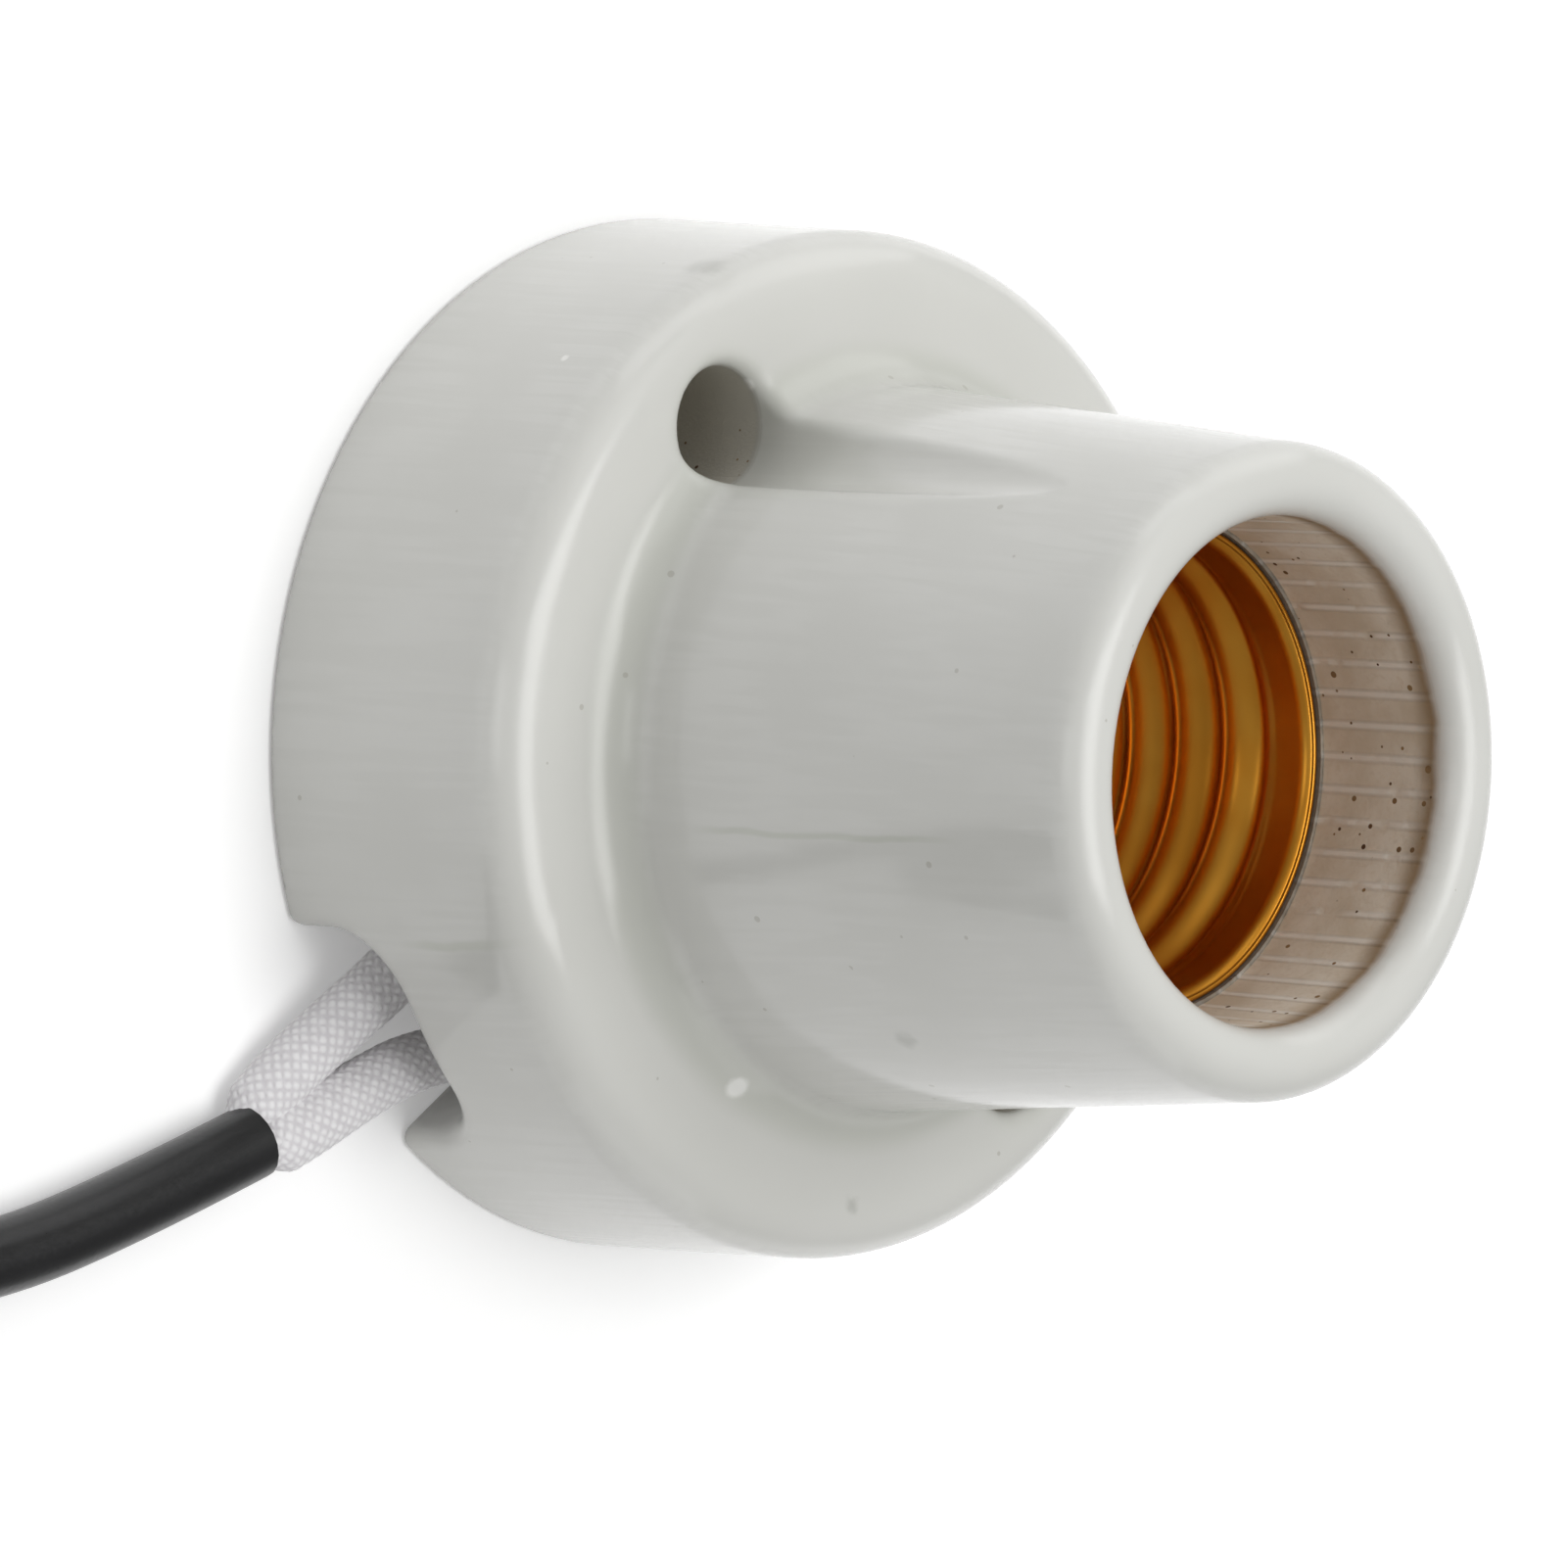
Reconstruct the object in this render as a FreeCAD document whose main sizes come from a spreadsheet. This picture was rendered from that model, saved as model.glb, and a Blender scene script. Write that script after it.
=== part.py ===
"""Surface-mounted porcelain lamp holder for an E27 screw lamp, with its flexible lead.

A glazed porcelain body stands on its flat back: a round base with a fluted neck.
The neck holds a rolled brass screw shell and a sprung centre contact.  Both are
screwed through the socket floor to brass terminals in the hollow back, where the
two cores of the lead arrive through a notch in the rim.

Frame: origin at the centre of the mounting face, +Z out of the mouth, the two
mounting holes on the X axis and the cable notch towards -Y.  Millimetres.
"""
import FreeCAD, Part
import math
import os

import Sketcher
from FreeCAD import Placement, Rotation, Vector

# ---------------------------------------------------------------- driving sizes
SIZES = [
    # porcelain body, outside
    ("base_radius", 30.4),  # rear rim of the base
    ("base_taper", 0.75),  # radius the base loses towards its front
    ("base_height", 18.5),
    ("edge_rounding", 3.0),  # front edge of the base
    ("foot_rounding", 0.5),  # rear edge of the base
    ("neck_radius", 21.1),  # neck where it leaves the base
    ("neck_taper", 3.0),  # radius the neck loses up to its mouth
    ("total_height", 50.4),
    ("root_rounding", 3.0),  # hollow corner between base and neck
    ("lip_outer_rounding", 2.1),
    ("lip_inner_rounding", 1.7),
    # porcelain body, inside
    ("bore_radius", 14.15),  # mouth, above the rim of the shell
    ("seat_step", 0.2),  # radius the bore loses where it takes the shell
    ("socket_floor", 17.0),  # height of the floor that the screw shell stands on
    ("well_radius", 7.9),  # sunk place of the centre contact
    ("well_depth", 1.6),
    ("rim_wall", 5.2),  # wall round the hollow back
    ("cavity_depth", 10.5),
    ("cavity_rounding", 1.2),
    ("notch_width", 14.4),
    ("notch_height", 7.2),
    ("notch_rounding", 4.5),
    ("notch_edge_rounding", 0.9),
    # mounting holes
    ("mounting_spacing", 44.6),
    ("recess_radius", 3.45),  # screw head recess, which also flutes the neck
    ("recess_floor", 9.0),
    ("screw_hole_radius", 2.15),
    ("boss_radius", 6.7),
    ("flute_rounding", 0.9),
    ("flute_share", 0.4),  # most of the flute's depth that its rounding takes
    ("cut_margin", 1.0),  # how far a cut runs past the face that it opens
    # screw shell
    ("shell_clearance", 0.05),
    ("shell_wall", 0.35),
    ("shell_depth", 10.5),  # rim of the shell below the mouth
    ("shell_collar", 2.7),  # smooth band above the thread
    ("shell_foot", 3.2),  # smooth band below the thread
    ("shell_bend", 1.2),  # bend between wall and flange
    ("thread_pitch", 3.629),
    ("thread_depth", 1.15),
    ("flange_radius", 8.5),  # opening in the shell's floor
    # screws that hold the shell, the contact and the wires
    ("fixing_circle", 10.6),  # radius of the shell screws' circle
    ("second_fixing_angle", 135.0),
    ("fixing_radius", 1.5),
    ("fixing_head_radius", 2.0),
    ("fixing_head_height", 1.4),
    ("fixing_end", 0.8),  # screw end beyond its plate or nut
    ("flange_hole_clearance", 0.2),
    ("thread_clearance", 0.05),
    ("shank_clearance", 0.3),
    ("slot_width", 0.7),
    ("slot_depth", 0.7),
    ("nut_radius", 3.1),
    ("nut_height", 2.0),
    ("terminal_screw_radius", 1.6),
    ("terminal_head_radius", 3.0),
    ("terminal_head_height", 2.0),
    ("terminal_screw_reach", 1.6),  # screw end above its plate
    # centre contact and terminals
    ("contact_width", 5.6),
    ("contact_thickness", 0.5),
    ("contact_screw_offset", 5.0),  # from the axis towards -Y
    ("contact_rise", 6.0),
    ("contact_reach", 4.4),  # tip beyond the axis towards +Y
    ("contact_bend", 1.0),
    ("contact_heel", 0.1),  # by how much the foot falls short behind its screw
    ("contact_toe", 0.2),  # and runs past it in front
    ("shoulder_reach", 0.2),  # share of the reach at the shoulder of the tongue
    ("shoulder_rise", 0.88),  # share of the rise there
    ("crown_reach", 0.7),  # share of the reach at the crown
    ("tip_rise", 0.8),  # share of the rise at the tip
    ("terminal_thickness", 1.2),
    ("terminal_width", 6.8),
    ("terminal_corner", 1.2),
    ("terminal_screw_offset", 12.0),  # from the axis towards -Y
    ("centre_terminal_offset", 8.0),  # wire screw of the centre terminal, towards -X
    # lead
    ("conductor_radius", 0.55),
    ("core_radius", 1.05),
    ("sleeve_bore", 1.25),
    ("sleeve_radius", 1.65),
    ("cable_radius", 2.15),
    ("coil_middle_radius", 23.65),
    ("tie_thickness", 0.6),
    ("tie_angle", 12.0),  # width of the tie, as an angle of the coil
    ("tie_place", 219.0),  # where the tie starts round the coil, from +X
    ("turn_rounding", 0.95),  # share of the cable's radius that rounds the coil
    ("wire_hook", 220.0),  # how far a bare wire goes round its screw
    ("bare_end", 6.0),
]

# Routes of the lead, chosen by hand.  The sleeves start at the end of the black
# jacket and rise through the notch to the terminals in the back.
LIVE_ROUTE = [
    (-2.1, -39.5, 2.15),
    (-2.6, -34.4, 2.3),
    (-3.4, -29.6, 2.9),
    (-4.3, -25.0, 4.1),
    (-5.1, -20.7, 6.4),
    (-5.8, -16.7, 8.2),
]
NEUTRAL_ROUTE = [
    (1.1, -40.4, 2.15),
    (1.6, -35.3, 2.25),
    (2.6, -30.2, 2.7),
    (4.2, -25.2, 3.6),
    (6.3, -20.9, 5.8),
    (8.4, -16.9, 8.2),
]
SLEEVE_POINTS = 5  # the sleeves end one point before their cores
RUN_SHARE = 0.45  # share of the shorter run that an arc of a route takes up
LEAD_ROUTE = [
    (-0.5, -39.9, 2.15),
    (-3.2, -49.3, 2.15),
    (-6.9, -59.3, 2.15),
    (-13.4, -69.6, 2.15),
    (-21.6, -79.2, 2.15),
    (-28.6, -89.6, 2.4),
    (-31.6, -101.2, 2.75),
]
COIL_CENTRE = (-6.0, -103.0)
TAIL_ROUTE = [
    (-8.5, -128.6, 7.0),
    (-1.0, -129.0, 6.9),
    (6.8, -128.6, 5.8),
    (14.0, -127.0, 3.7),
    (20.2, -124.6, 2.3),
]
LIVE_TAIL_ROUTE = [
    (20.4, -125.7, 2.3),
    (25.2, -124.6, 1.5),
    (29.8, -122.2, 1.25),
]
NEUTRAL_TAIL_ROUTE = [
    (19.6, -123.7, 2.3),
    (23.2, -120.5, 1.5),
    (25.6, -116.0, 1.25),
]

NEAR = 1e-3  # places and radii closer than this are the same
START_RADIUS = 9.0  # circle on which a sketch's corners start, before it is solved

doc = FreeCAD.newDocument("lamp_holder")
sheet = doc.addObject("Spreadsheet::Sheet", "sizes")
for row, (alias, value) in enumerate(SIZES, start=1):
    sheet.set(f"A{row}", str(value))
    sheet.setAlias(f"A{row}", alias)
doc.recompute()


def size(alias):
    """A driving size, read from the sheet."""
    return float(sheet.get(alias))


# ---------------------------------------------------------------- small helpers
def plane_of(body, role):
    """The body's own origin plane of this role."""
    return next(item for item in body.Origin.OriginFeatures if item.Role == role)


def new_body(label):
    """An empty body of this name."""
    body = doc.addObject("PartDesign::Body", label)
    body.Label = label
    return body


def new_sketch(body, name, role="XY_Plane", height=None):
    """A sketch on an origin plane of the body, lifted by an expression if given."""
    sketch = body.newObject("Sketcher::SketchObject", name)
    sketch.AttachmentSupport = (plane_of(body, role), [""])
    sketch.MapMode = "FlatFace"
    if height:
        sketch.setExpression("AttachmentOffset.Base.z", height)
    return sketch


def bind(sketch, kind, *where, value, start=1.0):
    """A dimension of the sketch that follows an expression."""
    index = sketch.addConstraint(Sketcher.Constraint(kind, *where, start))
    sketch.setExpression(f"Constraints[{index}]", value)


def polygon(sketch, corners):
    """A closed outline whose corners are pairs of expressions."""
    count = len(corners)
    around = [2 * math.pi * i / count for i in range(count)]
    start = [Vector(math.cos(a), math.sin(a), 0) * START_RADIUS for a in around]
    for i in range(count):
        sketch.addGeometry(Part.LineSegment(start[i], start[(i + 1) % count]), False)
    for i in range(count):
        sketch.addConstraint(Sketcher.Constraint("Coincident", i, 2, (i + 1) % count, 1))
    for i, (across, up) in enumerate(corners):
        bind(sketch, "DistanceX", -1, 1, i, 1, value=across)
        bind(sketch, "DistanceY", -1, 1, i, 1, value=up)


def circle(sketch, across, up, radius):
    """A circle whose centre and radius are expressions."""
    middle = Vector(START_RADIUS, START_RADIUS, 0)
    index = sketch.addGeometry(Part.Circle(middle, Vector(0, 0, 1), 1), False)
    bind(sketch, "Radius", index, value=radius)
    bind(sketch, "DistanceX", -1, 1, index, 3, value=across)
    bind(sketch, "DistanceY", -1, 1, index, 3, value=up)


def revolve(body, corners, name="profile"):
    """Turns an outline in the XZ plane about the Z axis."""
    sketch = new_sketch(body, name, "XZ_Plane")
    polygon(sketch, corners)
    turned = body.newObject("PartDesign::Revolution", name + "_turned")
    turned.Profile = sketch
    turned.ReferenceAxis = (sketch, ["V_Axis"])
    turned.Angle = 360
    doc.recompute()
    return turned


def cut(body, sketch, depth, up=False, name=None):
    """A pocket from the sketch along -Z, or along +Z with up."""
    pocket = body.newObject("PartDesign::Pocket", name or sketch.Name + "_cut")
    pocket.Profile = sketch
    pocket.Reversed = up
    before = body.Shape.Volume
    pocket.setExpression("Length", depth)
    doc.recompute()
    if not body.Shape.Volume < before:
        raise RuntimeError(f"{pocket.Name} removes nothing")
    return pocket


def edges_where(shape, test):
    """Names of the edges that pass the test."""
    return [f"Edge{i}" for i, edge in enumerate(shape.Edges, start=1) if test(edge)]


def is_circle(edge, radius, height):
    """Whether the edge lies on the circle of this radius about Z at this height."""
    if not isinstance(edge.Curve, Part.Circle):
        return False
    box = edge.BoundBox
    level = abs(box.ZMin - height) < NEAR and abs(box.ZMax - height) < NEAR
    return level and abs(edge.Curve.Radius - radius) < NEAR


def round_edges(body, feature, edges, radius, name):
    """A fillet of these edges, whose radius is an expression."""
    rounding = body.newObject("PartDesign::Fillet", name)
    rounding.Base = (feature, edges)
    rounding.setExpression("Radius", radius)
    doc.recompute()
    return rounding


def feature(label, shape):
    """A sub-part whose shape is set here, where no sketch or primitive fits."""
    item = doc.addObject("Part::Feature", label)
    item.Label = label
    item.Shape = shape
    item.Placement = Placement()
    return item


# ---------------------------------------------------------------- porcelain body
LIP_SHARES = [("outer", 0.54), ("inner", 0.44)]  # most of the lip that each rounding takes

# Places of the screws in plan, as expressions.
SHELL_SCREW = ("sizes.fixing_circle", "0")
SECOND_SCREW = (
    "sizes.fixing_circle * cos(sizes.second_fixing_angle * 1deg)",
    "sizes.fixing_circle * sin(sizes.second_fixing_angle * 1deg)",
)
CONTACT_SCREW = ("0", "-sizes.contact_screw_offset")
SHELL_WIRE_SCREW = ("sizes.fixing_circle", "-sizes.terminal_screw_offset")
CENTRE_WIRE_SCREW = ("-sizes.centre_terminal_offset", "-sizes.terminal_screw_offset")
MOUNTING_HOLES = [("sizes.mounting_spacing / 2", "0"), ("-sizes.mounting_spacing / 2", "0")]

# Heights and radii that several pieces share, as expressions.
SEAT_RADIUS = "sizes.bore_radius - sizes.seat_step"
LEDGE = "sizes.total_height - sizes.shell_depth + 2 * sizes.seat_step"
LIP_WIDTH = "(sizes.neck_radius - sizes.neck_taper - sizes.bore_radius)"
FLUTE_DEPTH = "(sizes.neck_radius + sizes.recess_radius - sizes.mounting_spacing / 2)"
WELL_FLOOR = "sizes.socket_floor - sizes.well_depth"
PLATE_UNDERSIDE = "sizes.cavity_depth - sizes.terminal_thickness"


def circles(body, name, places, radius, height=None):
    """A sketch of equal circles at these places."""
    sketch = new_sketch(body, name, height=height)
    for across, up in places:
        circle(sketch, across, up, radius)
    return sketch


def porcelain_body():
    """One fired piece: base, neck, socket, hollow back and cable notch."""
    body = new_body("porcelain_body")
    front = "sizes.base_radius - sizes.base_taper"
    mouth = "sizes.neck_radius - sizes.neck_taper"
    outline = [
        ("0", "0"),
        ("sizes.base_radius", "0"),
        (front, "sizes.base_height"),
        ("sizes.neck_radius", "sizes.base_height"),
        (mouth, "sizes.total_height"),
        ("sizes.bore_radius", "sizes.total_height"),
        ("sizes.bore_radius", LEDGE),
        (SEAT_RADIUS, LEDGE),
        (SEAT_RADIUS, "sizes.socket_floor"),
        ("sizes.well_radius", "sizes.socket_floor"),
        ("sizes.well_radius", WELL_FLOOR),
        ("0", WELL_FLOOR),
    ]
    solid = revolve(body, outline)

    base_top = size("base_height")
    height = size("total_height")
    lip = [f"min(sizes.lip_{side}_rounding; {share} * {LIP_WIDTH})" for side, share in LIP_SHARES]
    rounds = [
        ("edge", size("base_radius") - size("base_taper"), base_top, "sizes.edge_rounding"),
        ("root", size("neck_radius"), base_top, "sizes.root_rounding"),
        ("lip_outside", size("neck_radius") - size("neck_taper"), height, lip[0]),
        ("lip_inside", size("bore_radius"), height, lip[1]),
        ("foot", size("base_radius"), 0.0, "sizes.foot_rounding"),
    ]
    for name, radius, level, rounding in rounds:
        edges = edges_where(body.Shape, lambda edge: is_circle(edge, radius, level))
        solid = round_edges(body, solid, edges, rounding, name)

    # Hollow back, with a boss left standing round each mounting hole.
    hollow = cut(body, cavity_outline(body), "sizes.cavity_depth", up=True)
    roof = edges_where(body.Shape, on_roof)
    round_edges(body, hollow, roof, "sizes.cavity_rounding", "cavity_corner")

    # Head recess of each mounting screw.  It runs on up the side of the neck as a
    # flute, until the taper of the neck leaves it.
    recess = circles(
        body, "head_recess", MOUNTING_HOLES, "sizes.recess_radius", "sizes.recess_floor"
    )
    solid = cut(body, recess, "sizes.total_height", up=True)
    flute = edges_where(body.Shape, lambda edge: on_flute(edge, base_top))
    rounding = f"min(sizes.flute_rounding; sizes.flute_share * {FLUTE_DEPTH})"
    round_edges(body, solid, flute, rounding, "flute_edge")
    holes = circles(body, "mounting_holes", MOUNTING_HOLES, "sizes.screw_hole_radius")
    cut(body, holes, "sizes.recess_floor", up=True)

    cable_notch(body)

    # Clearance holes of the screws that come down through the socket floor, and
    # blind ones above the wire screws.
    fixings = [SHELL_SCREW, SECOND_SCREW, CONTACT_SCREW]
    through = circles(
        body, "fixing_holes", fixings, "sizes.fixing_radius + sizes.shank_clearance"
    )
    cut(body, through, "sizes.socket_floor + sizes.cut_margin", up=True)
    wire_screws = [SHELL_WIRE_SCREW, CENTRE_WIRE_SCREW]
    blind = circles(
        body,
        "wire_screw_holes",
        wire_screws,
        "sizes.terminal_screw_radius + sizes.shank_clearance",
    )
    reach = "sizes.terminal_screw_reach + sizes.shank_clearance"
    cut(body, blind, f"sizes.cavity_depth + {reach}", up=True)
    return body


def cavity_outline(body):
    """Round hollow that leaves a boss of its own radius round each mounting hole."""
    sketch = new_sketch(body, "cavity")
    wide = size("base_radius") - size("rim_wall")
    boss, away = size("boss_radius"), size("mounting_spacing") / 2
    meet = (wide**2 - boss**2 + away**2) / (2 * away)
    rise = math.sqrt(wide**2 - meet**2)
    turn = math.atan2(rise, meet)
    open_half = math.atan2(rise, away - meet)
    ring = Part.Circle(Vector(0, 0, 0), Vector(0, 0, 1), wide)
    right = Part.Circle(Vector(away, 0, 0), Vector(0, 0, 1), boss)
    left = Part.Circle(Vector(-away, 0, 0), Vector(0, 0, 1), boss)
    top = sketch.addGeometry(Part.ArcOfCircle(ring, turn, math.pi - turn), False)
    west = sketch.addGeometry(Part.ArcOfCircle(left, -open_half, open_half), False)
    low = sketch.addGeometry(Part.ArcOfCircle(ring, math.pi + turn, 2 * math.pi - turn), False)
    east = sketch.addGeometry(
        Part.ArcOfCircle(right, math.pi - open_half, math.pi + open_half), False
    )
    for first, end, second, start in [
        (top, 2, west, 2),
        (west, 1, low, 1),
        (low, 2, east, 2),
        (east, 1, top, 1),
    ]:
        sketch.addConstraint(Sketcher.Constraint("Coincident", first, end, second, start))
    wall, spacing = "sizes.base_radius - sizes.rim_wall", "sizes.mounting_spacing / 2"
    for item, middle, across, radius, value in [
        (top, 0, "0", wide, wall),
        (low, 0, "0", wide, wall),
        (east, away, spacing, boss, "sizes.boss_radius"),
        (west, -away, "-" + spacing, boss, "sizes.boss_radius"),
    ]:
        bind(sketch, "Radius", item, value=value, start=radius)
        bind(sketch, "DistanceX", -1, 1, item, 3, value=across, start=middle)
        bind(sketch, "DistanceY", -1, 1, item, 3, value="0", start=0)
    return sketch


def on_roof(edge):
    """Corner between the roof of the hollow back and its wall and bosses."""
    box = edge.BoundBox
    depth = size("cavity_depth")
    if abs(box.ZMin - depth) > NEAR or abs(box.ZMax - depth) > NEAR:
        return False
    return isinstance(edge.Curve, Part.Circle)


def on_flute(edge, base_top):
    """Upper edge of a head recess, on the front face and up the neck."""
    span = edge.LastParameter - edge.FirstParameter
    points = [edge.valueAt(edge.FirstParameter + share * span) for share in (0.1, 0.5, 0.9)]
    middle = size("mounting_spacing") / 2
    off = [abs(math.hypot(abs(p.x) - middle, p.y) - size("recess_radius")) for p in points]
    upright = abs(edge.BoundBox.ZLength - edge.Length) < NEAR
    return edge.BoundBox.ZMax > base_top - NEAR and max(off) < NEAR and not upright


def cable_notch(body):
    """An arched opening through the rim towards -Y."""
    half = "sizes.notch_width / 2"
    sketch = new_sketch(body, "notch", "XZ_Plane")
    low, high = "-sizes.cut_margin", "sizes.notch_height"
    polygon(sketch, [("-" + half, low), (half, low), (half, high), ("-" + half, high)])
    notch = cut(body, sketch, "sizes.base_radius + sizes.cut_margin")
    if body.Shape.Solids[0].CenterOfMass.y < 0:
        notch.Reversed = True
        doc.recompute()
    shoulders = edges_where(body.Shape, lambda edge: on_notch(edge, upright=False))
    arch = round_edges(body, notch, shoulders, "sizes.notch_rounding", "notch_arch")
    rim = edges_where(body.Shape, lambda edge: on_notch(edge, upright=True))
    if rim:
        round_edges(body, arch, rim, "sizes.notch_edge_rounding", "notch_edge")


def on_notch(edge, upright):
    """Shoulder of the notch, or with upright the edge where it leaves the wall."""
    box = edge.BoundBox
    half = size("notch_width") / 2
    inside = box.XMax < half + 1e-3 and box.XMin > -half - 1e-3
    if not upright:
        level = abs(box.ZMin - size("notch_height")) < 1e-3 and box.ZLength < 1e-3
        return inside and level and box.YLength > box.XLength and box.XLength < 1e-3
    outer = size("base_radius") - size("base_taper")
    span = edge.LastParameter - edge.FirstParameter
    points = [edge.valueAt(edge.FirstParameter + share * span) for share in (0.1, 0.5, 0.9)]
    out = min(math.hypot(p.x, p.y) for p in points) > outer - 0.1
    low = box.ZMax < size("notch_height") + 0.1
    return inside and out and low and box.ZMax > size("foot_rounding") + 0.1 and box.YMax < 0


# ---------------------------------------------------------------- screw shell
def arc(start, middle, end):
    """The edge of an arc through three points."""
    return Part.Arc(start, middle, end).toShape()


def half_wave(radius, height, inward):
    """Half a turn's section of the rolled thread, as two equal tangent arcs."""
    pitch, depth = size("thread_pitch"), size("thread_depth")
    bend = (depth**2 / 4 + pitch**2 / 16) / depth
    turn = math.atan2(pitch / 4, bend - depth / 2)
    side = -1 if inward else 1
    sunk, lift = bend * (1 - math.cos(turn / 2)), bend * math.sin(turn / 2)
    end = (radius + side * depth, height - pitch / 2)
    stations = [
        (radius, height),
        (radius + side * sunk, height - lift),
        (radius + side * depth / 2, height - pitch / 4),
        (end[0] - side * sunk, end[1] + lift),
        end,
    ]
    points = [Vector(across, 0, up) for across, up in stations]
    return [arc(*points[:3]), arc(*points[2:])], end


def screw_shell():
    """Brass sheet cup with the lamp's thread rolled into its wall."""
    outer = size("bore_radius") - size("seat_step") - size("shell_clearance")
    rim = size("total_height") - size("shell_depth")
    floor = size("socket_floor")
    level = rim - size("shell_collar")
    edges = [Part.LineSegment(Vector(outer, 0, rim), Vector(outer, 0, level)).toShape()]
    turns = int((level - floor - size("shell_foot")) / size("thread_pitch"))
    place = (outer, level)
    for _ in range(turns):
        for inward in (True, False):
            arcs, place = half_wave(*place, inward)
            edges += arcs
    bend = size("shell_bend")
    low = Vector(outer, 0, floor + bend)
    corner = Vector(outer - bend * (1 - math.sqrt(0.5)), 0, floor + bend * (1 - math.sqrt(0.5)))
    flat = Vector(outer - bend, 0, floor)
    edges.append(Part.LineSegment(Vector(place[0], 0, place[1]), low).toShape())
    edges.append(arc(low, corner, flat))
    edges.append(Part.LineSegment(flat, Vector(size("flange_radius"), 0, floor)).toShape())
    sheet_line = Part.Wire(edges)
    wall = size("shell_wall")
    section = sheet_line.makeOffset2D(wall, 0, True, True)
    if section.BoundBox.XMax > outer + wall / 2:
        section = sheet_line.makeOffset2D(-wall, 0, True, True)
    solid = section.revolve(Vector(0, 0, 0), Vector(0, 0, 1), 360)
    circle_radius = size("fixing_circle")
    angle = math.radians(size("second_fixing_angle"))
    hole = size("fixing_radius") + size("flange_hole_clearance")
    margin = size("cut_margin")
    for across, up in ((1, 0), (math.cos(angle), math.sin(angle))):
        base = Vector(circle_radius * across, circle_radius * up, floor - margin)
        solid = solid.cut(Part.makeCylinder(hole, wall + 2 * margin, base))
    feature("screw_shell", solid)


# ---------------------------------------------------------------- screws and nut
def put(body, across, up, height, turned=False):
    """Binds the body's place to expressions, upside down with turned."""
    if turned:
        body.Placement = Placement(Vector(), Rotation(Vector(1, 0, 0), 180))
    body.setExpression("Placement.Base.x", across)
    body.setExpression("Placement.Base.y", up)
    body.setExpression("Placement.Base.z", height)


def slotted_screw(label, place, height, head, shank, length, turned=False):
    """A cheese-head screw: its head stands on Z = 0 and its shank points down."""
    body = new_body(label)
    head_radius, head_height = head
    outline = [
        ("0", "-(" + length + ")"),
        (shank, "-(" + length + ")"),
        (shank, "0"),
        (head_radius, "0"),
        (head_radius, head_height),
        ("0", head_height),
    ]
    revolve(body, outline)
    half = "sizes.slot_width / 2"
    slot = new_sketch(body, "slot", height=head_height)
    right, left = f"{head_radius} + sizes.cut_margin", f"-({head_radius} + sizes.cut_margin)"
    polygon(slot, [(left, "-" + half), (right, "-" + half), (right, half), (left, half)])
    cut(body, slot, "sizes.slot_depth")
    put(body, *place, height, turned)


def screws():
    """The screws of the shell, the contact and the wires, and the shell's nut."""
    head = ("sizes.fixing_head_radius", "sizes.fixing_head_height")
    shank = "sizes.fixing_radius"
    seat = "sizes.socket_floor + sizes.shell_wall"
    to_plate = f"{seat} - ({PLATE_UNDERSIDE}) + sizes.fixing_end"
    to_nut = f"{seat} - sizes.cavity_depth + sizes.nut_height + sizes.fixing_end"
    slotted_screw("shell_terminal_screw", SHELL_SCREW, seat, head, shank, to_plate)
    slotted_screw("shell_fixing_screw", SECOND_SCREW, seat, head, shank, to_nut)
    seat = f"{WELL_FLOOR} + sizes.contact_thickness"
    to_plate = f"{seat} - ({PLATE_UNDERSIDE}) + sizes.fixing_end"
    slotted_screw("contact_screw", CONTACT_SCREW, seat, head, shank, to_plate)

    head = ("sizes.terminal_head_radius", "sizes.terminal_head_height")
    shank = "sizes.terminal_screw_radius"
    seat = f"{PLATE_UNDERSIDE} - 2 * sizes.conductor_radius"
    reach = f"sizes.cavity_depth + sizes.terminal_screw_reach - ({seat})"
    slotted_screw("neutral_wire_screw", SHELL_WIRE_SCREW, seat, head, shank, reach, True)
    slotted_screw("live_wire_screw", CENTRE_WIRE_SCREW, seat, head, shank, reach, True)

    nut = new_body("shell_fixing_nut")
    hexagon = new_sketch(nut, "hexagon")
    corners = [
        (f"sizes.nut_radius * cos({60 * i}deg)", f"sizes.nut_radius * sin({60 * i}deg)")
        for i in range(6)
    ]
    polygon(hexagon, corners)
    circle(hexagon, "0", "0", "sizes.fixing_radius + sizes.thread_clearance")
    pad = nut.newObject("PartDesign::Pad", "thickness")
    pad.Profile = hexagon
    pad.setExpression("Length", "sizes.nut_height")
    doc.recompute()
    put(nut, *SECOND_SCREW, "sizes.cavity_depth - sizes.nut_height")


# ---------------------------------------------------------------- terminals and contact
def terminal(label, corners, screws_in_it):
    """A flat brass plate on the roof of the hollow back, with two tapped holes."""
    body = new_body(label)
    plate = new_sketch(body, "plate")
    polygon(plate, corners)
    pad = body.newObject("PartDesign::Pad", "thickness")
    pad.Profile = plate
    pad.setExpression("Length", "sizes.terminal_thickness")
    doc.recompute()
    upright = edges_where(body.Shape, lambda edge: edge.BoundBox.ZLength > NEAR)
    round_edges(body, pad, upright, "sizes.terminal_corner", "corners")
    for name, place, radius in screws_in_it:
        hole = circles(body, name, [place], f"{radius} + sizes.thread_clearance")
        cut(body, hole, "sizes.terminal_thickness", up=True)
    put(body, "0", "0", PLATE_UNDERSIDE)


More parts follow.
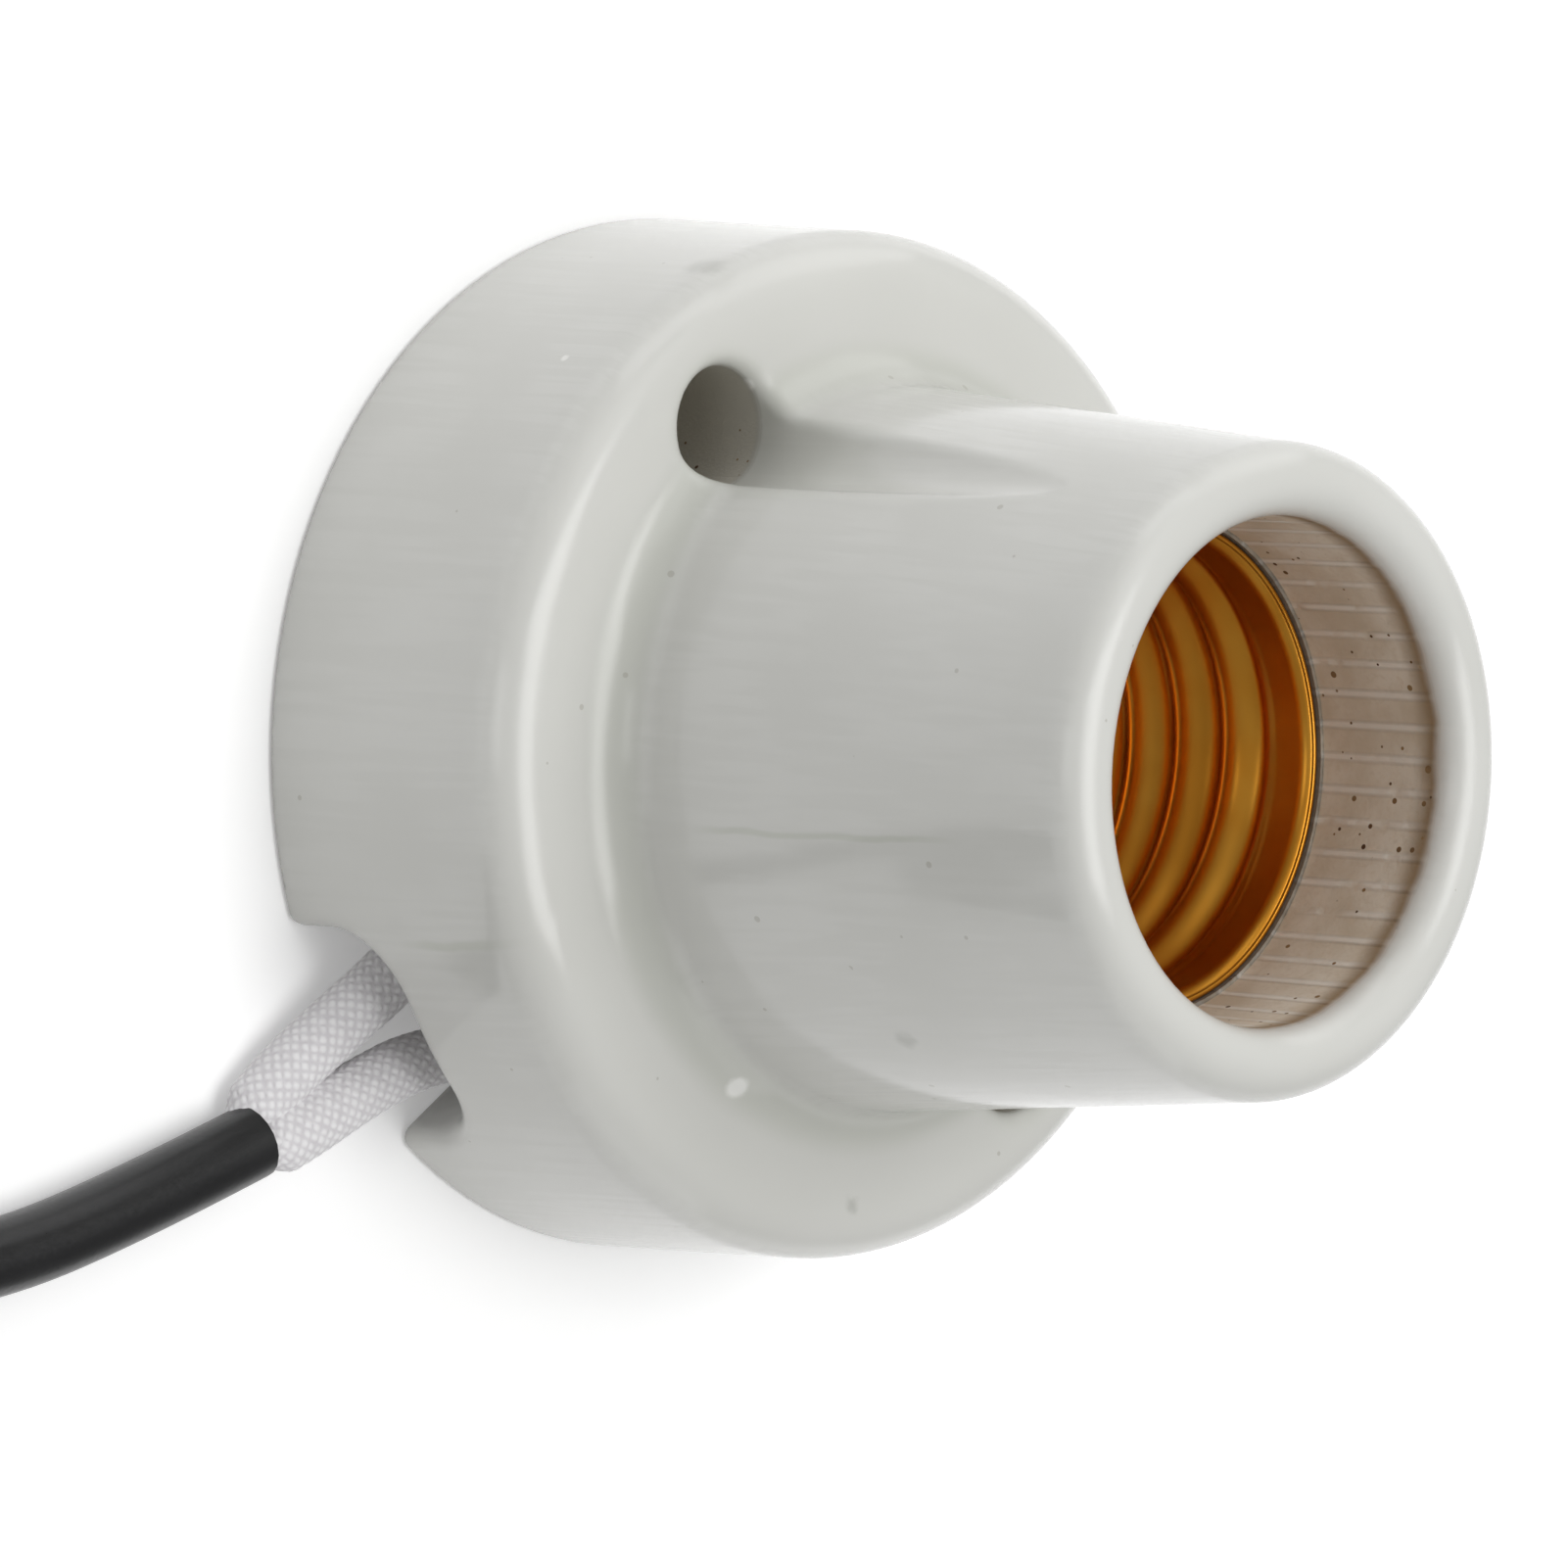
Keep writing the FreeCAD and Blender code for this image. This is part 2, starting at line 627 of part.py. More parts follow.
def terminals():
    """The plates of the shell and of the centre contact, each with its wire screw."""
    half = "sizes.terminal_width / 2"
    left, right = f"sizes.fixing_circle - {half}", f"sizes.fixing_circle + {half}"
    back = f"-sizes.terminal_screw_offset - {half}"
    outline = [(left, back), (right, back), (right, half), (left, half)]
    fixing = "sizes.fixing_radius"
    wire = "sizes.terminal_screw_radius"
    holes = [("fixing", SHELL_SCREW, fixing), ("wire", SHELL_WIRE_SCREW, wire)]
    terminal("shell_terminal", outline, holes)

    far = f"-sizes.centre_terminal_offset - {half}"
    near = f"-sizes.centre_terminal_offset + {half}"
    front = f"-sizes.contact_screw_offset + {half}"
    inner = f"-sizes.contact_screw_offset - {half}"
    outline = [(far, back), (near, back), (near, inner), (half, inner), (half, front), (far, front)]
    holes = [("fixing", CONTACT_SCREW, fixing), ("wire", CENTRE_WIRE_SCREW, wire)]
    terminal("centre_terminal", outline, holes)


def bent_path(points, radius=None, report=None):
    """Straight runs joined by tangent arcs.

    Without a radius each arc is as large as its two runs allow: RUN_SHARE of the
    shorter run, over the tangent of half the turn.
    """
    points = [Vector(*p) for p in points]
    edges, start, radii = [], points[0], []
    for before, corner, after in zip(points, points[1:], points[2:]):
        back, on = before - corner, after - corner
        runs = (back.Length, on.Length)
        back.normalize()
        on.normalize()
        half_turn = (math.pi - back.getAngle(on)) / 2
        reach = radius * math.tan(half_turn) if radius else RUN_SHARE * min(runs)
        bend = reach / math.tan(half_turn)
        radii.append(round(bend, 1))
        first, last = corner + back * reach, corner + on * reach
        inward = back + on
        inward.normalize()
        middle = corner + inward * (bend / math.cos(half_turn) - bend)
        edges.append(Part.LineSegment(start, first).toShape())
        edges.append(arc(first, middle, last))
        start = last
    edges.append(Part.LineSegment(start, points[-1]).toShape())
    if report:
        print(f"{report}: bend radii {radii} mm")
    return Part.Wire(edges)


def centre_contact():
    """A sprung brass leaf: flat foot under its screw, tongue raised over the axis."""
    foot = size("socket_floor") - size("well_depth")
    offset, rise, reach = size("contact_screw_offset"), size("contact_rise"), size("contact_reach")
    side = size("fixing_head_radius") + size("shank_clearance")
    line = [
        (0, -offset - side + size("contact_heel"), foot),
        (0, -offset + side + size("contact_toe"), foot),
        (0, reach * size("shoulder_reach"), foot + rise * size("shoulder_rise")),
        (0, reach * size("crown_reach"), foot + rise),
        (0, reach, foot + rise * size("tip_rise")),
    ]
    path = bent_path(line, radius=size("contact_bend"))
    thickness = size("contact_thickness")
    section = path.makeOffset2D(thickness, 0, True, True)
    if section.BoundBox.ZMin < foot - thickness / 2:
        section = path.makeOffset2D(-thickness, 0, True, True)
    width = size("contact_width")
    leaf = section.extrude(Vector(width, 0, 0))
    leaf.translate(Vector(-width / 2, 0, 0))
    hole = size("fixing_radius") + size("flange_hole_clearance")
    margin = size("cut_margin")
    drill = Part.makeCylinder(hole, thickness + 2 * margin, Vector(0, -offset, foot - margin))
    leaf = leaf.cut(drill)
    feature("centre_contact", leaf)


# ---------------------------------------------------------------- lead
def pipe(path, radius):
    """A round rod along the path."""
    start = path.Edges[0]
    ring = Part.Circle(
        start.valueAt(start.FirstParameter), start.tangentAt(start.FirstParameter), radius
    )
    return path.makePipeShell([Part.Wire(ring.toShape())], True, True)


def wire_end(core, screw, above, side):
    """Bare copper that hooks round a wire screw, between its head and the plate."""
    loop = size("terminal_screw_radius") + size("conductor_radius") + size("thread_clearance")
    across, up = screw
    level = size("cavity_depth") - size("terminal_thickness") - size("conductor_radius")
    clear = up - size("terminal_head_radius") - size("shank_clearance")
    beside = across + side * loop
    straight = bent_path([above, (beside, clear, level), (beside, up, level)])
    ring = [
        Vector(across + side * loop * math.cos(a), up + loop * math.sin(a), level)
        for a in (0, math.radians(size("wire_hook") / 2), math.radians(size("wire_hook")))
    ]
    path = Part.Wire(straight.Edges + [arc(*ring)])
    return pipe(path, size("conductor_radius")).cut(core)


def lead():
    """The lead: cores and braided sleeves in the notch, jacket, coil and bare end."""
    coil_shape = coil()
    jacket = pipe(bent_path(LEAD_ROUTE, report="cable_lead"), size("cable_radius"))
    jacket = jacket.cut(coil_shape)
    feature("cable_lead", jacket)
    tail = pipe(bent_path(TAIL_ROUTE, report="cable_tail"), size("cable_radius"))
    tail = tail.cut(coil_shape)
    feature("cable_tail", tail)

    back = -size("terminal_screw_offset")
    ends = [
        ("live", LIVE_ROUTE, (-size("centre_terminal_offset"), back), 1, LIVE_TAIL_ROUTE),
        ("neutral", NEUTRAL_ROUTE, (size("fixing_circle"), back), -1, NEUTRAL_TAIL_ROUTE),
    ]
    for name, route, screw, side, tail_route in ends:
        core = pipe(bent_path(route, report=name + "_core"), size("core_radius")).cut(jacket)
        feature(name + "_core", core)
        covered = bent_path(route[:SLEEVE_POINTS])
        sleeve = pipe(covered, size("sleeve_radius")).cut(pipe(covered, size("sleeve_bore")))
        feature(name + "_sleeve", sleeve.cut(jacket))
        feature(name + "_conductor", wire_end(core, screw, route[-1], side))

        tail_core = pipe(bent_path(tail_route, report=name + "_tail"), size("core_radius"))
        feature(name + "_tail_core", tail_core.cut(tail))
        last, before = Vector(*tail_route[-1]), Vector(*tail_route[-2])
        along = last - before
        along.normalize()
        tip = Part.makeCylinder(size("conductor_radius"), size("bare_end"), last, along)
        feature(name + "_tail_tip", tip)


def coil():
    """The spare length, wound up to two turns wide and two high, and tied."""
    body = new_body("cable_coil")
    inner = "sizes.coil_middle_radius - 2 * sizes.cable_radius"
    outer = "sizes.coil_middle_radius + 2 * sizes.cable_radius"
    low, high = "sizes.tie_thickness", "sizes.tie_thickness + 4 * sizes.cable_radius"
    solid = revolve(body, [(inner, low), (outer, low), (outer, high), (inner, high)])
    edges = edges_where(body.Shape, lambda edge: isinstance(edge.Curve, Part.Circle))
    rounding = "sizes.cable_radius * sizes.turn_rounding"
    round_edges(body, solid, edges, rounding, "outside_turns")
    body.Placement = Placement(Vector(*COIL_CENTRE, 0), Rotation())
    doc.recompute()
    coil_tie(body.Shape)
    return body.Shape


def coil_tie(turns):
    """A band wrapped round the bundle of turns."""
    half = 2 * size("cable_radius") + size("tie_thickness")
    left, right = size("coil_middle_radius") - half, size("coil_middle_radius") + half
    corners = [(left, 0), (right, 0), (right, 2 * half), (left, 2 * half), (left, 0)]
    outline = Part.makePolygon([Vector(across, 0, up) for across, up in corners])
    up = Vector(0, 0, 1)
    band = Part.Face(outline).revolve(Vector(), up, size("tie_angle"))
    rounding = size("turn_rounding") * size("cable_radius") + size("tie_thickness")
    band = band.makeFillet(rounding, [edge for edge in band.Edges if isinstance(edge.Curve, Part.Circle)])
    band.rotate(Vector(), up, size("tie_place"))
    band.translate(Vector(*COIL_CENTRE, 0))
    feature("coil_tie", band.cut(turns))


porcelain_body()
screw_shell()
screws()
terminals()
centre_contact()
lead()
doc.recompute()

# ---------------------------------------------------------------- checks and files
for item in doc.Objects:
    if "Invalid" in item.State or "Error" in item.State:
        raise RuntimeError(f"{item.Name} failed: {item.State}")

subparts = [o for o in doc.Objects if o.TypeId in ("PartDesign::Body", "Part::Feature")]
os.makedirs("parts", exist_ok=True)
for item in subparts:
    if item.Shape.isNull() or not item.Shape.isValid() or not item.Shape.Solids:
        raise RuntimeError(f"{item.Label} has no valid solid")
for item in subparts:
    item.Shape.exportStep(f"parts/{item.Label}.step")
    print(item.Label, len(item.Shape.Solids), round(item.Shape.Volume, 2))
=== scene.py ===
"""Finish of a surface-mounted porcelain lamp holder with its flexible lead.

Sizes are in millimetres unless a name says otherwise and are turned to metres
where a mesh or a curve is made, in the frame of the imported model: origin at the
centre of the mounting face, +Z out of the mouth, the cable notch towards -Y.
"""
import logging
import math
from dataclasses import dataclass, field
from enum import Enum
from typing import Any

import bpy
import numpy as np
from mathutils import Matrix, Vector


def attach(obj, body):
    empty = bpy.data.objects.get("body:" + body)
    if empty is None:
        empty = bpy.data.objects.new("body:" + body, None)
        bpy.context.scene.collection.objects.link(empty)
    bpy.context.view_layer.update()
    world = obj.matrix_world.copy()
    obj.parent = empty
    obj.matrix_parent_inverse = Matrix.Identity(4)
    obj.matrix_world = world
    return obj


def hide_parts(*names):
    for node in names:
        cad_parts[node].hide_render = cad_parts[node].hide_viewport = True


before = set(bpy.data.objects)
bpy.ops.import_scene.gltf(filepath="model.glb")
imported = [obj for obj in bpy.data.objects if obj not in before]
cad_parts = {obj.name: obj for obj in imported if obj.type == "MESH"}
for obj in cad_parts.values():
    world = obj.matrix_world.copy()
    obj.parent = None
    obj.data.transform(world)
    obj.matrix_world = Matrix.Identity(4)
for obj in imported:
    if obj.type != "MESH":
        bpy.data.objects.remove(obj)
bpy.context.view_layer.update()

log = logging.getLogger("lamp_holder")
MM = 0.001
Route = list[tuple[float, float, float]]


class Body(Enum):
    """The one rigid body of the part, which every piece rides on."""

    ROOT = "root"


class Core(Enum):
    """The two cores of the lead, by what each is wired to."""

    LIVE = "live"
    NEUTRAL = "neutral"


# ------------------------------------------------------------------ mesh making
def new_mesh(name: str, points: np.ndarray, faces: np.ndarray, smooth: bool = True) -> bpy.types.Object:
    """Makes a mesh object from points in millimetres.

    Args:
        name: name of the piece.
        points: (n, 3) points in millimetres, in the row frame.
        faces: (m, 4) corner numbers, counter-clockwise seen from outside.
        smooth: True for smooth shading.

    Returns:
        The object, linked to the scene, at the origin.
    """
    mesh = bpy.data.meshes.new(name)
    mesh.vertices.add(len(points))
    mesh.vertices.foreach_set("co", (points * MM).astype(np.float32).ravel())
    mesh.loops.add(faces.size)
    mesh.loops.foreach_set("vertex_index", faces.astype(np.int32).ravel())
    mesh.polygons.add(len(faces))
    mesh.polygons.foreach_set("loop_start", np.arange(0, faces.size, faces.shape[1], dtype=np.int32))
    mesh.update(calc_edges=True)
    mesh.validate()
    mesh.polygons.foreach_set("use_smooth", np.full(len(mesh.polygons), smooth))
    piece = bpy.data.objects.new(name, mesh)
    bpy.context.scene.collection.objects.link(piece)
    return piece


def grid_faces(rows: int, columns: int, wrap_rows: bool, wrap_columns: bool) -> np.ndarray:
    """Corner numbers of the quads of a grid of points.

    Quad (i, j) joins points (i, j), (i, j+1), (i+1, j+1) and (i+1, j), with the
    indices taken modulo the grid's size where it closes on itself.

    Args:
        rows: points along the first parameter.
        columns: points along the second parameter.
        wrap_rows: whether the last row joins the first.
        wrap_columns: whether the last column joins the first.

    Returns:
        (m, 4) corner numbers.
    """
    i, j = np.meshgrid(
        np.arange(rows if wrap_rows else rows - 1),
        np.arange(columns if wrap_columns else columns - 1),
        indexing="ij",
    )
    below, beside = (i + 1) % rows, (j + 1) % columns
    corners = [i * columns + j, i * columns + beside, below * columns + beside, below * columns + j]
    return np.stack([c.ravel() for c in corners], axis=1)


def ease(value: np.ndarray, low: float, high: float) -> np.ndarray:
    """Rises smoothly from 0 at low to 1 at high, as 3t^2 - 2t^3."""
    t = np.clip((value - low) / (high - low), 0.0, 1.0)
    return t * t * (3.0 - 2.0 * t)


def cord_curve(name: str, route: Route, radius: float) -> bpy.types.Object:
    """A round cord along a smooth line.

    Args:
        name: name of the piece.
        route: control points in millimetres.
        radius: half the cord's thickness in millimetres, 0 for a bare line.

    Returns:
        A curve object of one open NURBS spline of order 3.
    """
    curve = bpy.data.curves.new(name, "CURVE")
    curve.dimensions = "3D"
    curve.resolution_u = curve.render_resolution_u = 12
    curve.bevel_depth = radius * MM
    curve.bevel_resolution = 8
    curve.use_fill_caps = True
    spline = curve.splines.new("NURBS")
    spline.points.add(len(route) - 1)
    for point, place in zip(spline.points, route):
        point.co = (*(Vector(place) * MM), 1.0)
    spline.order_u = 3
    spline.use_endpoint_u = True
    piece = bpy.data.objects.new(name, curve)
    bpy.context.scene.collection.objects.link(piece)
    return piece


def line_along(route: Route, count: int) -> np.ndarray:
    """Points at even steps along the smooth line of a route.

    Args:
        route: control points in millimetres.
        count: number of points wanted.

    Returns:
        (count, 3) points in millimetres.
    """
    bare = cord_curve("route", route, 0.0)
    bare.data.resolution_u = bare.data.render_resolution_u = 32
    mesh = bpy.data.meshes.new_from_object(bare)
    points = np.empty(len(mesh.vertices) * 3)
    mesh.vertices.foreach_get("co", points)
    points = points.reshape(-1, 3) / MM
    curve = bare.data
    bpy.data.objects.remove(bare)
    bpy.data.curves.remove(curve)
    bpy.data.meshes.remove(mesh)
    steps = np.linalg.norm(np.diff(points, axis=0), axis=1)
    run = np.concatenate([[0.0], np.cumsum(steps)])
    even = np.linspace(0.0, run[-1], count)
    return np.stack([np.interp(even, run, points[:, axis]) for axis in range(3)], axis=1)


def frames_along(line: np.ndarray, flat: Vector) -> tuple[np.ndarray, np.ndarray, np.ndarray]:
    """Unit vectors along, across and out of a line.

    The second vector is the part of flat at right angles to the line, and the
    third is the cross product of the first two.

    Args:
        line: (n, 3) points.
        flat: direction that the second vector keeps to.

    Returns:
        Three (n, 3) arrays of unit vectors.
    """
    along = np.gradient(line, axis=0)
    along /= np.linalg.norm(along, axis=1, keepdims=True)
    across = np.array(flat) - along * (along @ np.array(flat))[:, None]
    across /= np.linalg.norm(across, axis=1, keepdims=True)
    return along, across, np.cross(along, across)


# ------------------------------------------------------------- material making
def linear(code: str) -> tuple[float, float, float, float]:
    """Linear RGBA of an sRGB hex code.

    Each channel c becomes c / 12.92 below 0.04045 and ((c + 0.055) / 1.055)^2.4 above.
    """
    parts = [int(code[i:i + 2], 16) / 255 for i in (1, 3, 5)]
    red, green, blue = (c / 12.92 if c <= 0.04045 else ((c + 0.055) / 1.055) ** 2.4 for c in parts)
    return red, green, blue, 1.0


@dataclass
class Finish:
    """A node material under construction."""

    name: str
    material: bpy.types.Material = field(init=False)
    shader: bpy.types.Node = field(init=False)

    def __post_init__(self) -> None:
        """Makes the material with a bare shader."""
        self.material = bpy.data.materials.new(self.name)
        self.material.use_nodes = True
        self.shader = self.material.node_tree.nodes["Principled BSDF"]

    def add(self, kind: str, links: dict[Any, Any] | None = None, **settings: Any) -> bpy.types.Node:
        """Adds a node.

        Args:
            kind: type of the node, without its prefix.
            links: input name or number to a value or to an output of another node.
            settings: attributes of the node.

        Returns:
            The new node.
        """
        node = self.material.node_tree.nodes.new("ShaderNode" + kind)
        for key, value in settings.items():
            setattr(node, key, value)
        for key, value in (links or {}).items():
            self.feed(node.inputs[key], value)
        return node

    def feed(self, socket: bpy.types.NodeSocket, value: Any) -> None:
        """Links a socket to an output, or sets its value."""
        if isinstance(value, bpy.types.NodeSocket):
            self.material.node_tree.links.new(value, socket)
        else:
            socket.default_value = value

    def shade(self, **values: Any) -> None:
        """Feeds the shader's sockets, named with underscores for spaces."""
        for key, value in values.items():
            self.feed(self.shader.inputs[key.replace("_", " ")], value)

    def math(self, operation: str, *values: Any) -> bpy.types.NodeSocket:
        """Output of an arithmetic node over numbers or outputs."""
        return self.add("Math", dict(enumerate(values)), operation=operation).outputs[0]

    def product(self, first: Any, second: Any) -> bpy.types.NodeSocket:
        """Product of two numbers or outputs."""
        return self.math("MULTIPLY", first, second)

    def hypot(self, first: Any, second: Any) -> bpy.types.NodeSocket:
        """Square root of the sum of two squares."""
        squares = (self.math("POWER", value, 2.0) for value in (first, second))
        return self.math("SQRT", self.math("ADD", *squares))

    def distance(self, where: Any, centre: tuple[float, float, float]) -> bpy.types.NodeSocket:
        """Distance in millimetres of a place from a centre."""
        return self.add("VectorMath", {0: where, 1: centre}, operation="DISTANCE").outputs["Value"]

    def span(self, value: Any, low: float, high: float) -> bpy.types.NodeSocket:
        """Output that rises smoothly from 0 at low to 1 at high."""
        links = {"Value": value, "From Min": low, "From Max": high}
        return self.add("MapRange", links, interpolation_type="SMOOTHSTEP").outputs[0]

    def fall(self, value: Any, low: float, high: float) -> bpy.types.NodeSocket:
        """Output that falls smoothly from 1 at low to 0 at high."""
        return self.math("SUBTRACT", 1.0, self.span(value, low, high))

    def blend(self, share: Any, first: Any, second: Any) -> bpy.types.NodeSocket:
        """Colour between first at share 0 and second at share 1."""
        node = self.add("Mix", data_type="RGBA")
        for place, value in zip((0, 6, 7), (share, first, second)):
            self.feed(node.inputs[place], value)
        return node.outputs[2]

    def place(self, scale: tuple[float, float, float] = (1.0, 1.0, 1.0)) -> bpy.types.NodeSocket:
        """Object coordinates in millimetres, times scale."""
        where = self.add("TexCoord").outputs["Object"]
        return self.add("Mapping", {"Vector": where, "Scale": [s / MM for s in scale]}).outputs[0]

    def noise(
        self, where: Any, size: float, detail: float = 2.0, rough: float = 0.5
    ) -> bpy.types.NodeSocket:
        """Noise whose patches are about size millimetres across."""
        links = {"Vector": where, "Scale": 1.0 / size, "Detail": detail, "Roughness": rough}
        return self.add("TexNoise", links).outputs[0]

    def bump(self, height: Any, depth: float, under: Any = None) -> bpy.types.NodeSocket:
        """Normal of a relief whose height of 1 stands depth millimetres high."""
        links = {"Height": height, "Distance": depth * MM}
        if under is not None:
            links["Normal"] = under
        return self.add("Bump", links).outputs[0]


@dataclass(frozen=True)
class Ground:
    """Places on the porcelain and masks of its surfaces, 1 inside and 0 outside."""

    where: Any  # place in millimetres
    angle: Any  # angle round the axis in radians
    across: Any  # distance from the axis
    height: Any  # height over the mounting face
    from_hole: Any  # distance from the axis of the nearer screw hole
    bore: Any  # raw clay between the socket's floor and the glaze
    stain: Any  # brown edge where the glaze runs out
    gap: Any  # painted shade in the gap under the ledge that the shell stands in
    hole: Any  # clay inside the screw holes
    raw: Any  # all that the glaze leaves bare


@dataclass(frozen=True)
class GlazedPorcelain:
    """Feldspathic porcelain, pressed and dipped in clear glaze, raw inside.

    The glaze is glossy over a faintly grey body, pools greenish in hollow
    corners and shows the strokes of the turning knife through it.  The raw bore
    is matt and buff, with iron specks and the ribs of the die.
    """

    # Colours of the glaze: over the body, over the strokes, in a pool, and its marks.
    body: str = "#D6D6D1"
    thin: str = "#E2E2DE"
    pooled: str = "#B9BDAE"
    fleck: str = "#9A9587"
    smoke: str = "#A9AAA3"
    drop: str = "#F4F4F0"
    # Colours of the raw clay and of what lies on it, and of the painted shade in the gap under the ledge.
    raw: str = "#EFE7D8"
    dusty: str = "#D9CCB7"
    # Painted highlight on the die ribs.
    rib_highlight: str = "#F8F4EB"
    speck: str = "#54381F"
    rust: str = "#9A7E58"
    stain: str = "#957C5C"
    # Painted shade in the gap under the ledge that the shell stands in.
    gap: str = "#4A423B"
    hole: str = "#BFBBB0"
    # Sizes of the body that the surfaces follow.
    bore_radius: float = 14.15
    base_height: float = 18.5
    root: tuple[float, float] = (22.0, 19.4)  # radius and height of the hollow corner
    glaze_edge: float = 48.4  # height in the bore down to which the glaze runs
    shell_rim: float = 40.3  # height of the ledge that the shell stands in
    hole_spacing: float = 44.6
    hole_radius: float = 3.45
    flute_fade: tuple[float, float] = (22.0, 34.0)  # heights between which a flute's pool ends
    socket_floor: float = 17.0
    cavity_radius: float = 25.2
    cavity_depth: float = 10.5
    # Marks of the making.
    ribs: int = 48
    rib_height: float = 0.13
    stroke: float = 0.75  # width of a knife stroke
    edge_softness: float = 0.9  # how far the glaze rounds an edge that the clay keeps
    gloss: float = 0.11  # roughness of the glaze
    bareness: float = 0.69  # how much rougher the raw clay is
    speck_spacing: float = 1.05
    # Angle round the axis in radians, lowest and highest point of a crease under the glaze.
    creases: tuple[tuple[float, float, float], ...] = ((-1.96, 23.0, 43.0), (-1.79, 8.0, 18.4))
    # Centre and radius of each grey smudge that the kiln left.
    smudges: tuple[tuple[tuple[float, float, float], float], ...] = (
        ((5.6, -18.9, 33.0), 1.1),
        ((-29.2, 6.0, 15.4), 1.5),
        ((-10.6, -16.6, 39.0), 0.8),
        ((21.1, -16.0, 18.5), 0.9),
    )
    # Centre and radius of each drop where the glaze has run thick.
    beads: tuple[tuple[tuple[float, float, float], float], ...] = (
        ((9.2, -20.2, 19.0), 1.05),
        ((-22.9, 3.4, 17.7), 0.7),
        ((-20.8, 2.7, 17.9), 0.6),
        ((-20.2, 3.3, 17.7), 0.5),
        ((-29.6, -4.0, 13.0), 0.5),
    )

    def material(self) -> bpy.types.Material:
        """Builds the glazed and raw surfaces in one material."""
        m = Finish("glazed_porcelain")
        on = self.ground(m)
        strokes = self.knife_strokes(m, on)
        ribs = self.die_ribs(m, on)
        specks, flecks, tint = self.iron_specks(m, on)
        glaze = self.marks(m, on, self.glaze(m, on, strokes, flecks))
        clay = m.blend(specks, self.clay(m, on, ribs), m.blend(tint, linear(self.speck), linear(self.rust)))

        rounded = m.add("Bevel", {"Radius": self.edge_softness * MM}, samples=3).outputs[0]
        smooth = m.bump(strokes, 0.008, m.bump(m.noise(on.where, 6.0, 1.0), 0.05, rounded))
        grain = m.bump(m.noise(on.where, 0.25, 3.0), 0.03, m.bump(ribs, self.rib_height))
        normal = m.add("Mix", data_type="VECTOR")
        for place, value in zip((0, 4, 5), (on.raw, smooth, grain)):
            m.feed(normal.inputs[place], value)
        m.shade(
            Base_Color=m.blend(on.raw, glaze, clay),
            Roughness=m.math("MULTIPLY_ADD", on.raw, self.bareness, self.gloss),
            IOR=1.5,
            Normal=normal.outputs[1],
        )
        return m.material

    def ground(self, m: Finish) -> Ground:
        """Makes the places and the masks.

        The clay is bare in the bore between the socket's floor and the ragged
        edge of the glaze, in the hollow back, under the foot and in the screw
        holes.
        """
        where = m.place()
        x, y, height = m.add("SeparateXYZ", {0: where}).outputs
        across = m.hypot(x, y)
        edge = m.math("MULTIPLY_ADD", m.noise(where, 2.5), 0.6, height)
        inside = m.product(
            m.fall(across, self.bore_radius + 1.2, self.bore_radius + 1.4),
            m.span(height, self.socket_floor - 1.0, self.socket_floor - 0.8),
        )
        stain = m.product(inside, m.span(edge, self.glaze_edge - 1.3, self.glaze_edge + 0.4))
        bore = m.product(inside, m.fall(edge, self.glaze_edge + 0.2, self.glaze_edge + 1.0))
        # Painted shade in the gap under the ledge: dark below the shell's rim, with a ragged edge.
        gap_shade_edge = m.math("MULTIPLY_ADD", m.noise(where, 1.6, 2.0), -0.16, height)
        gap = m.fall(gap_shade_edge, self.shell_rim - 0.14, self.shell_rim + 0.04)
        ragged = m.math("MULTIPLY_ADD", m.noise(where, 1.5), 0.5, across)
        back = m.product(
            m.fall(ragged, self.cavity_radius, self.cavity_radius + 0.6),
            m.fall(height, self.cavity_depth + 0.1, self.cavity_depth + 0.3),
        )
        foot = m.fall(height, 0.05, 0.2)
        side = m.math("SUBTRACT", m.math("ABSOLUTE", x), self.hole_spacing / 2)
        from_hole = m.hypot(side, y)
        hole = m.product(
            m.fall(from_hole, self.hole_radius, self.hole_radius + 0.25),
            m.fall(height, self.base_height - 1.2, self.base_height - 0.4),
        )
        raw = m.math("MAXIMUM", m.math("MAXIMUM", bore, back), m.math("MAXIMUM", foot, hole))
        angle = m.math("ARCTAN2", y, x)
        return Ground(where, angle, across, height, from_hole, bore, stain, gap, hole, raw)

    def knife_strokes(self, m: Finish, on: Ground) -> bpy.types.NodeSocket:
        """Mask of the strokes along the axis, on upright sides and in patches."""
        lines = m.span(m.noise(m.place((1.0, 1.0, 0.05)), self.stroke, 1.0), 0.38, 0.62)
        facing = m.add("SeparateXYZ", {0: m.add("NewGeometry").outputs["Normal"]}).outputs[2]
        upright = m.fall(m.math("ABSOLUTE", facing), 0.3, 0.8)
        return m.product(lines, m.product(upright, m.span(m.noise(on.where, 7.0, 2.0), 0.3, 0.6)))

    def die_ribs(self, m: Finish, on: Ground) -> bpy.types.NodeSocket:
        """Mask of the ribs that the die left along the bore, worn in patches."""
        turn = m.math("FRACT", m.math("MULTIPLY_ADD", on.angle, self.ribs / (2 * math.pi), self.ribs))
        crest = m.fall(m.math("ABSOLUTE", m.math("SUBTRACT", turn, 0.5)), 0.04, 0.2)
        return m.product(m.product(crest, on.bore), m.span(m.noise(on.where, 3.5, 2.0), 0.25, 0.5))

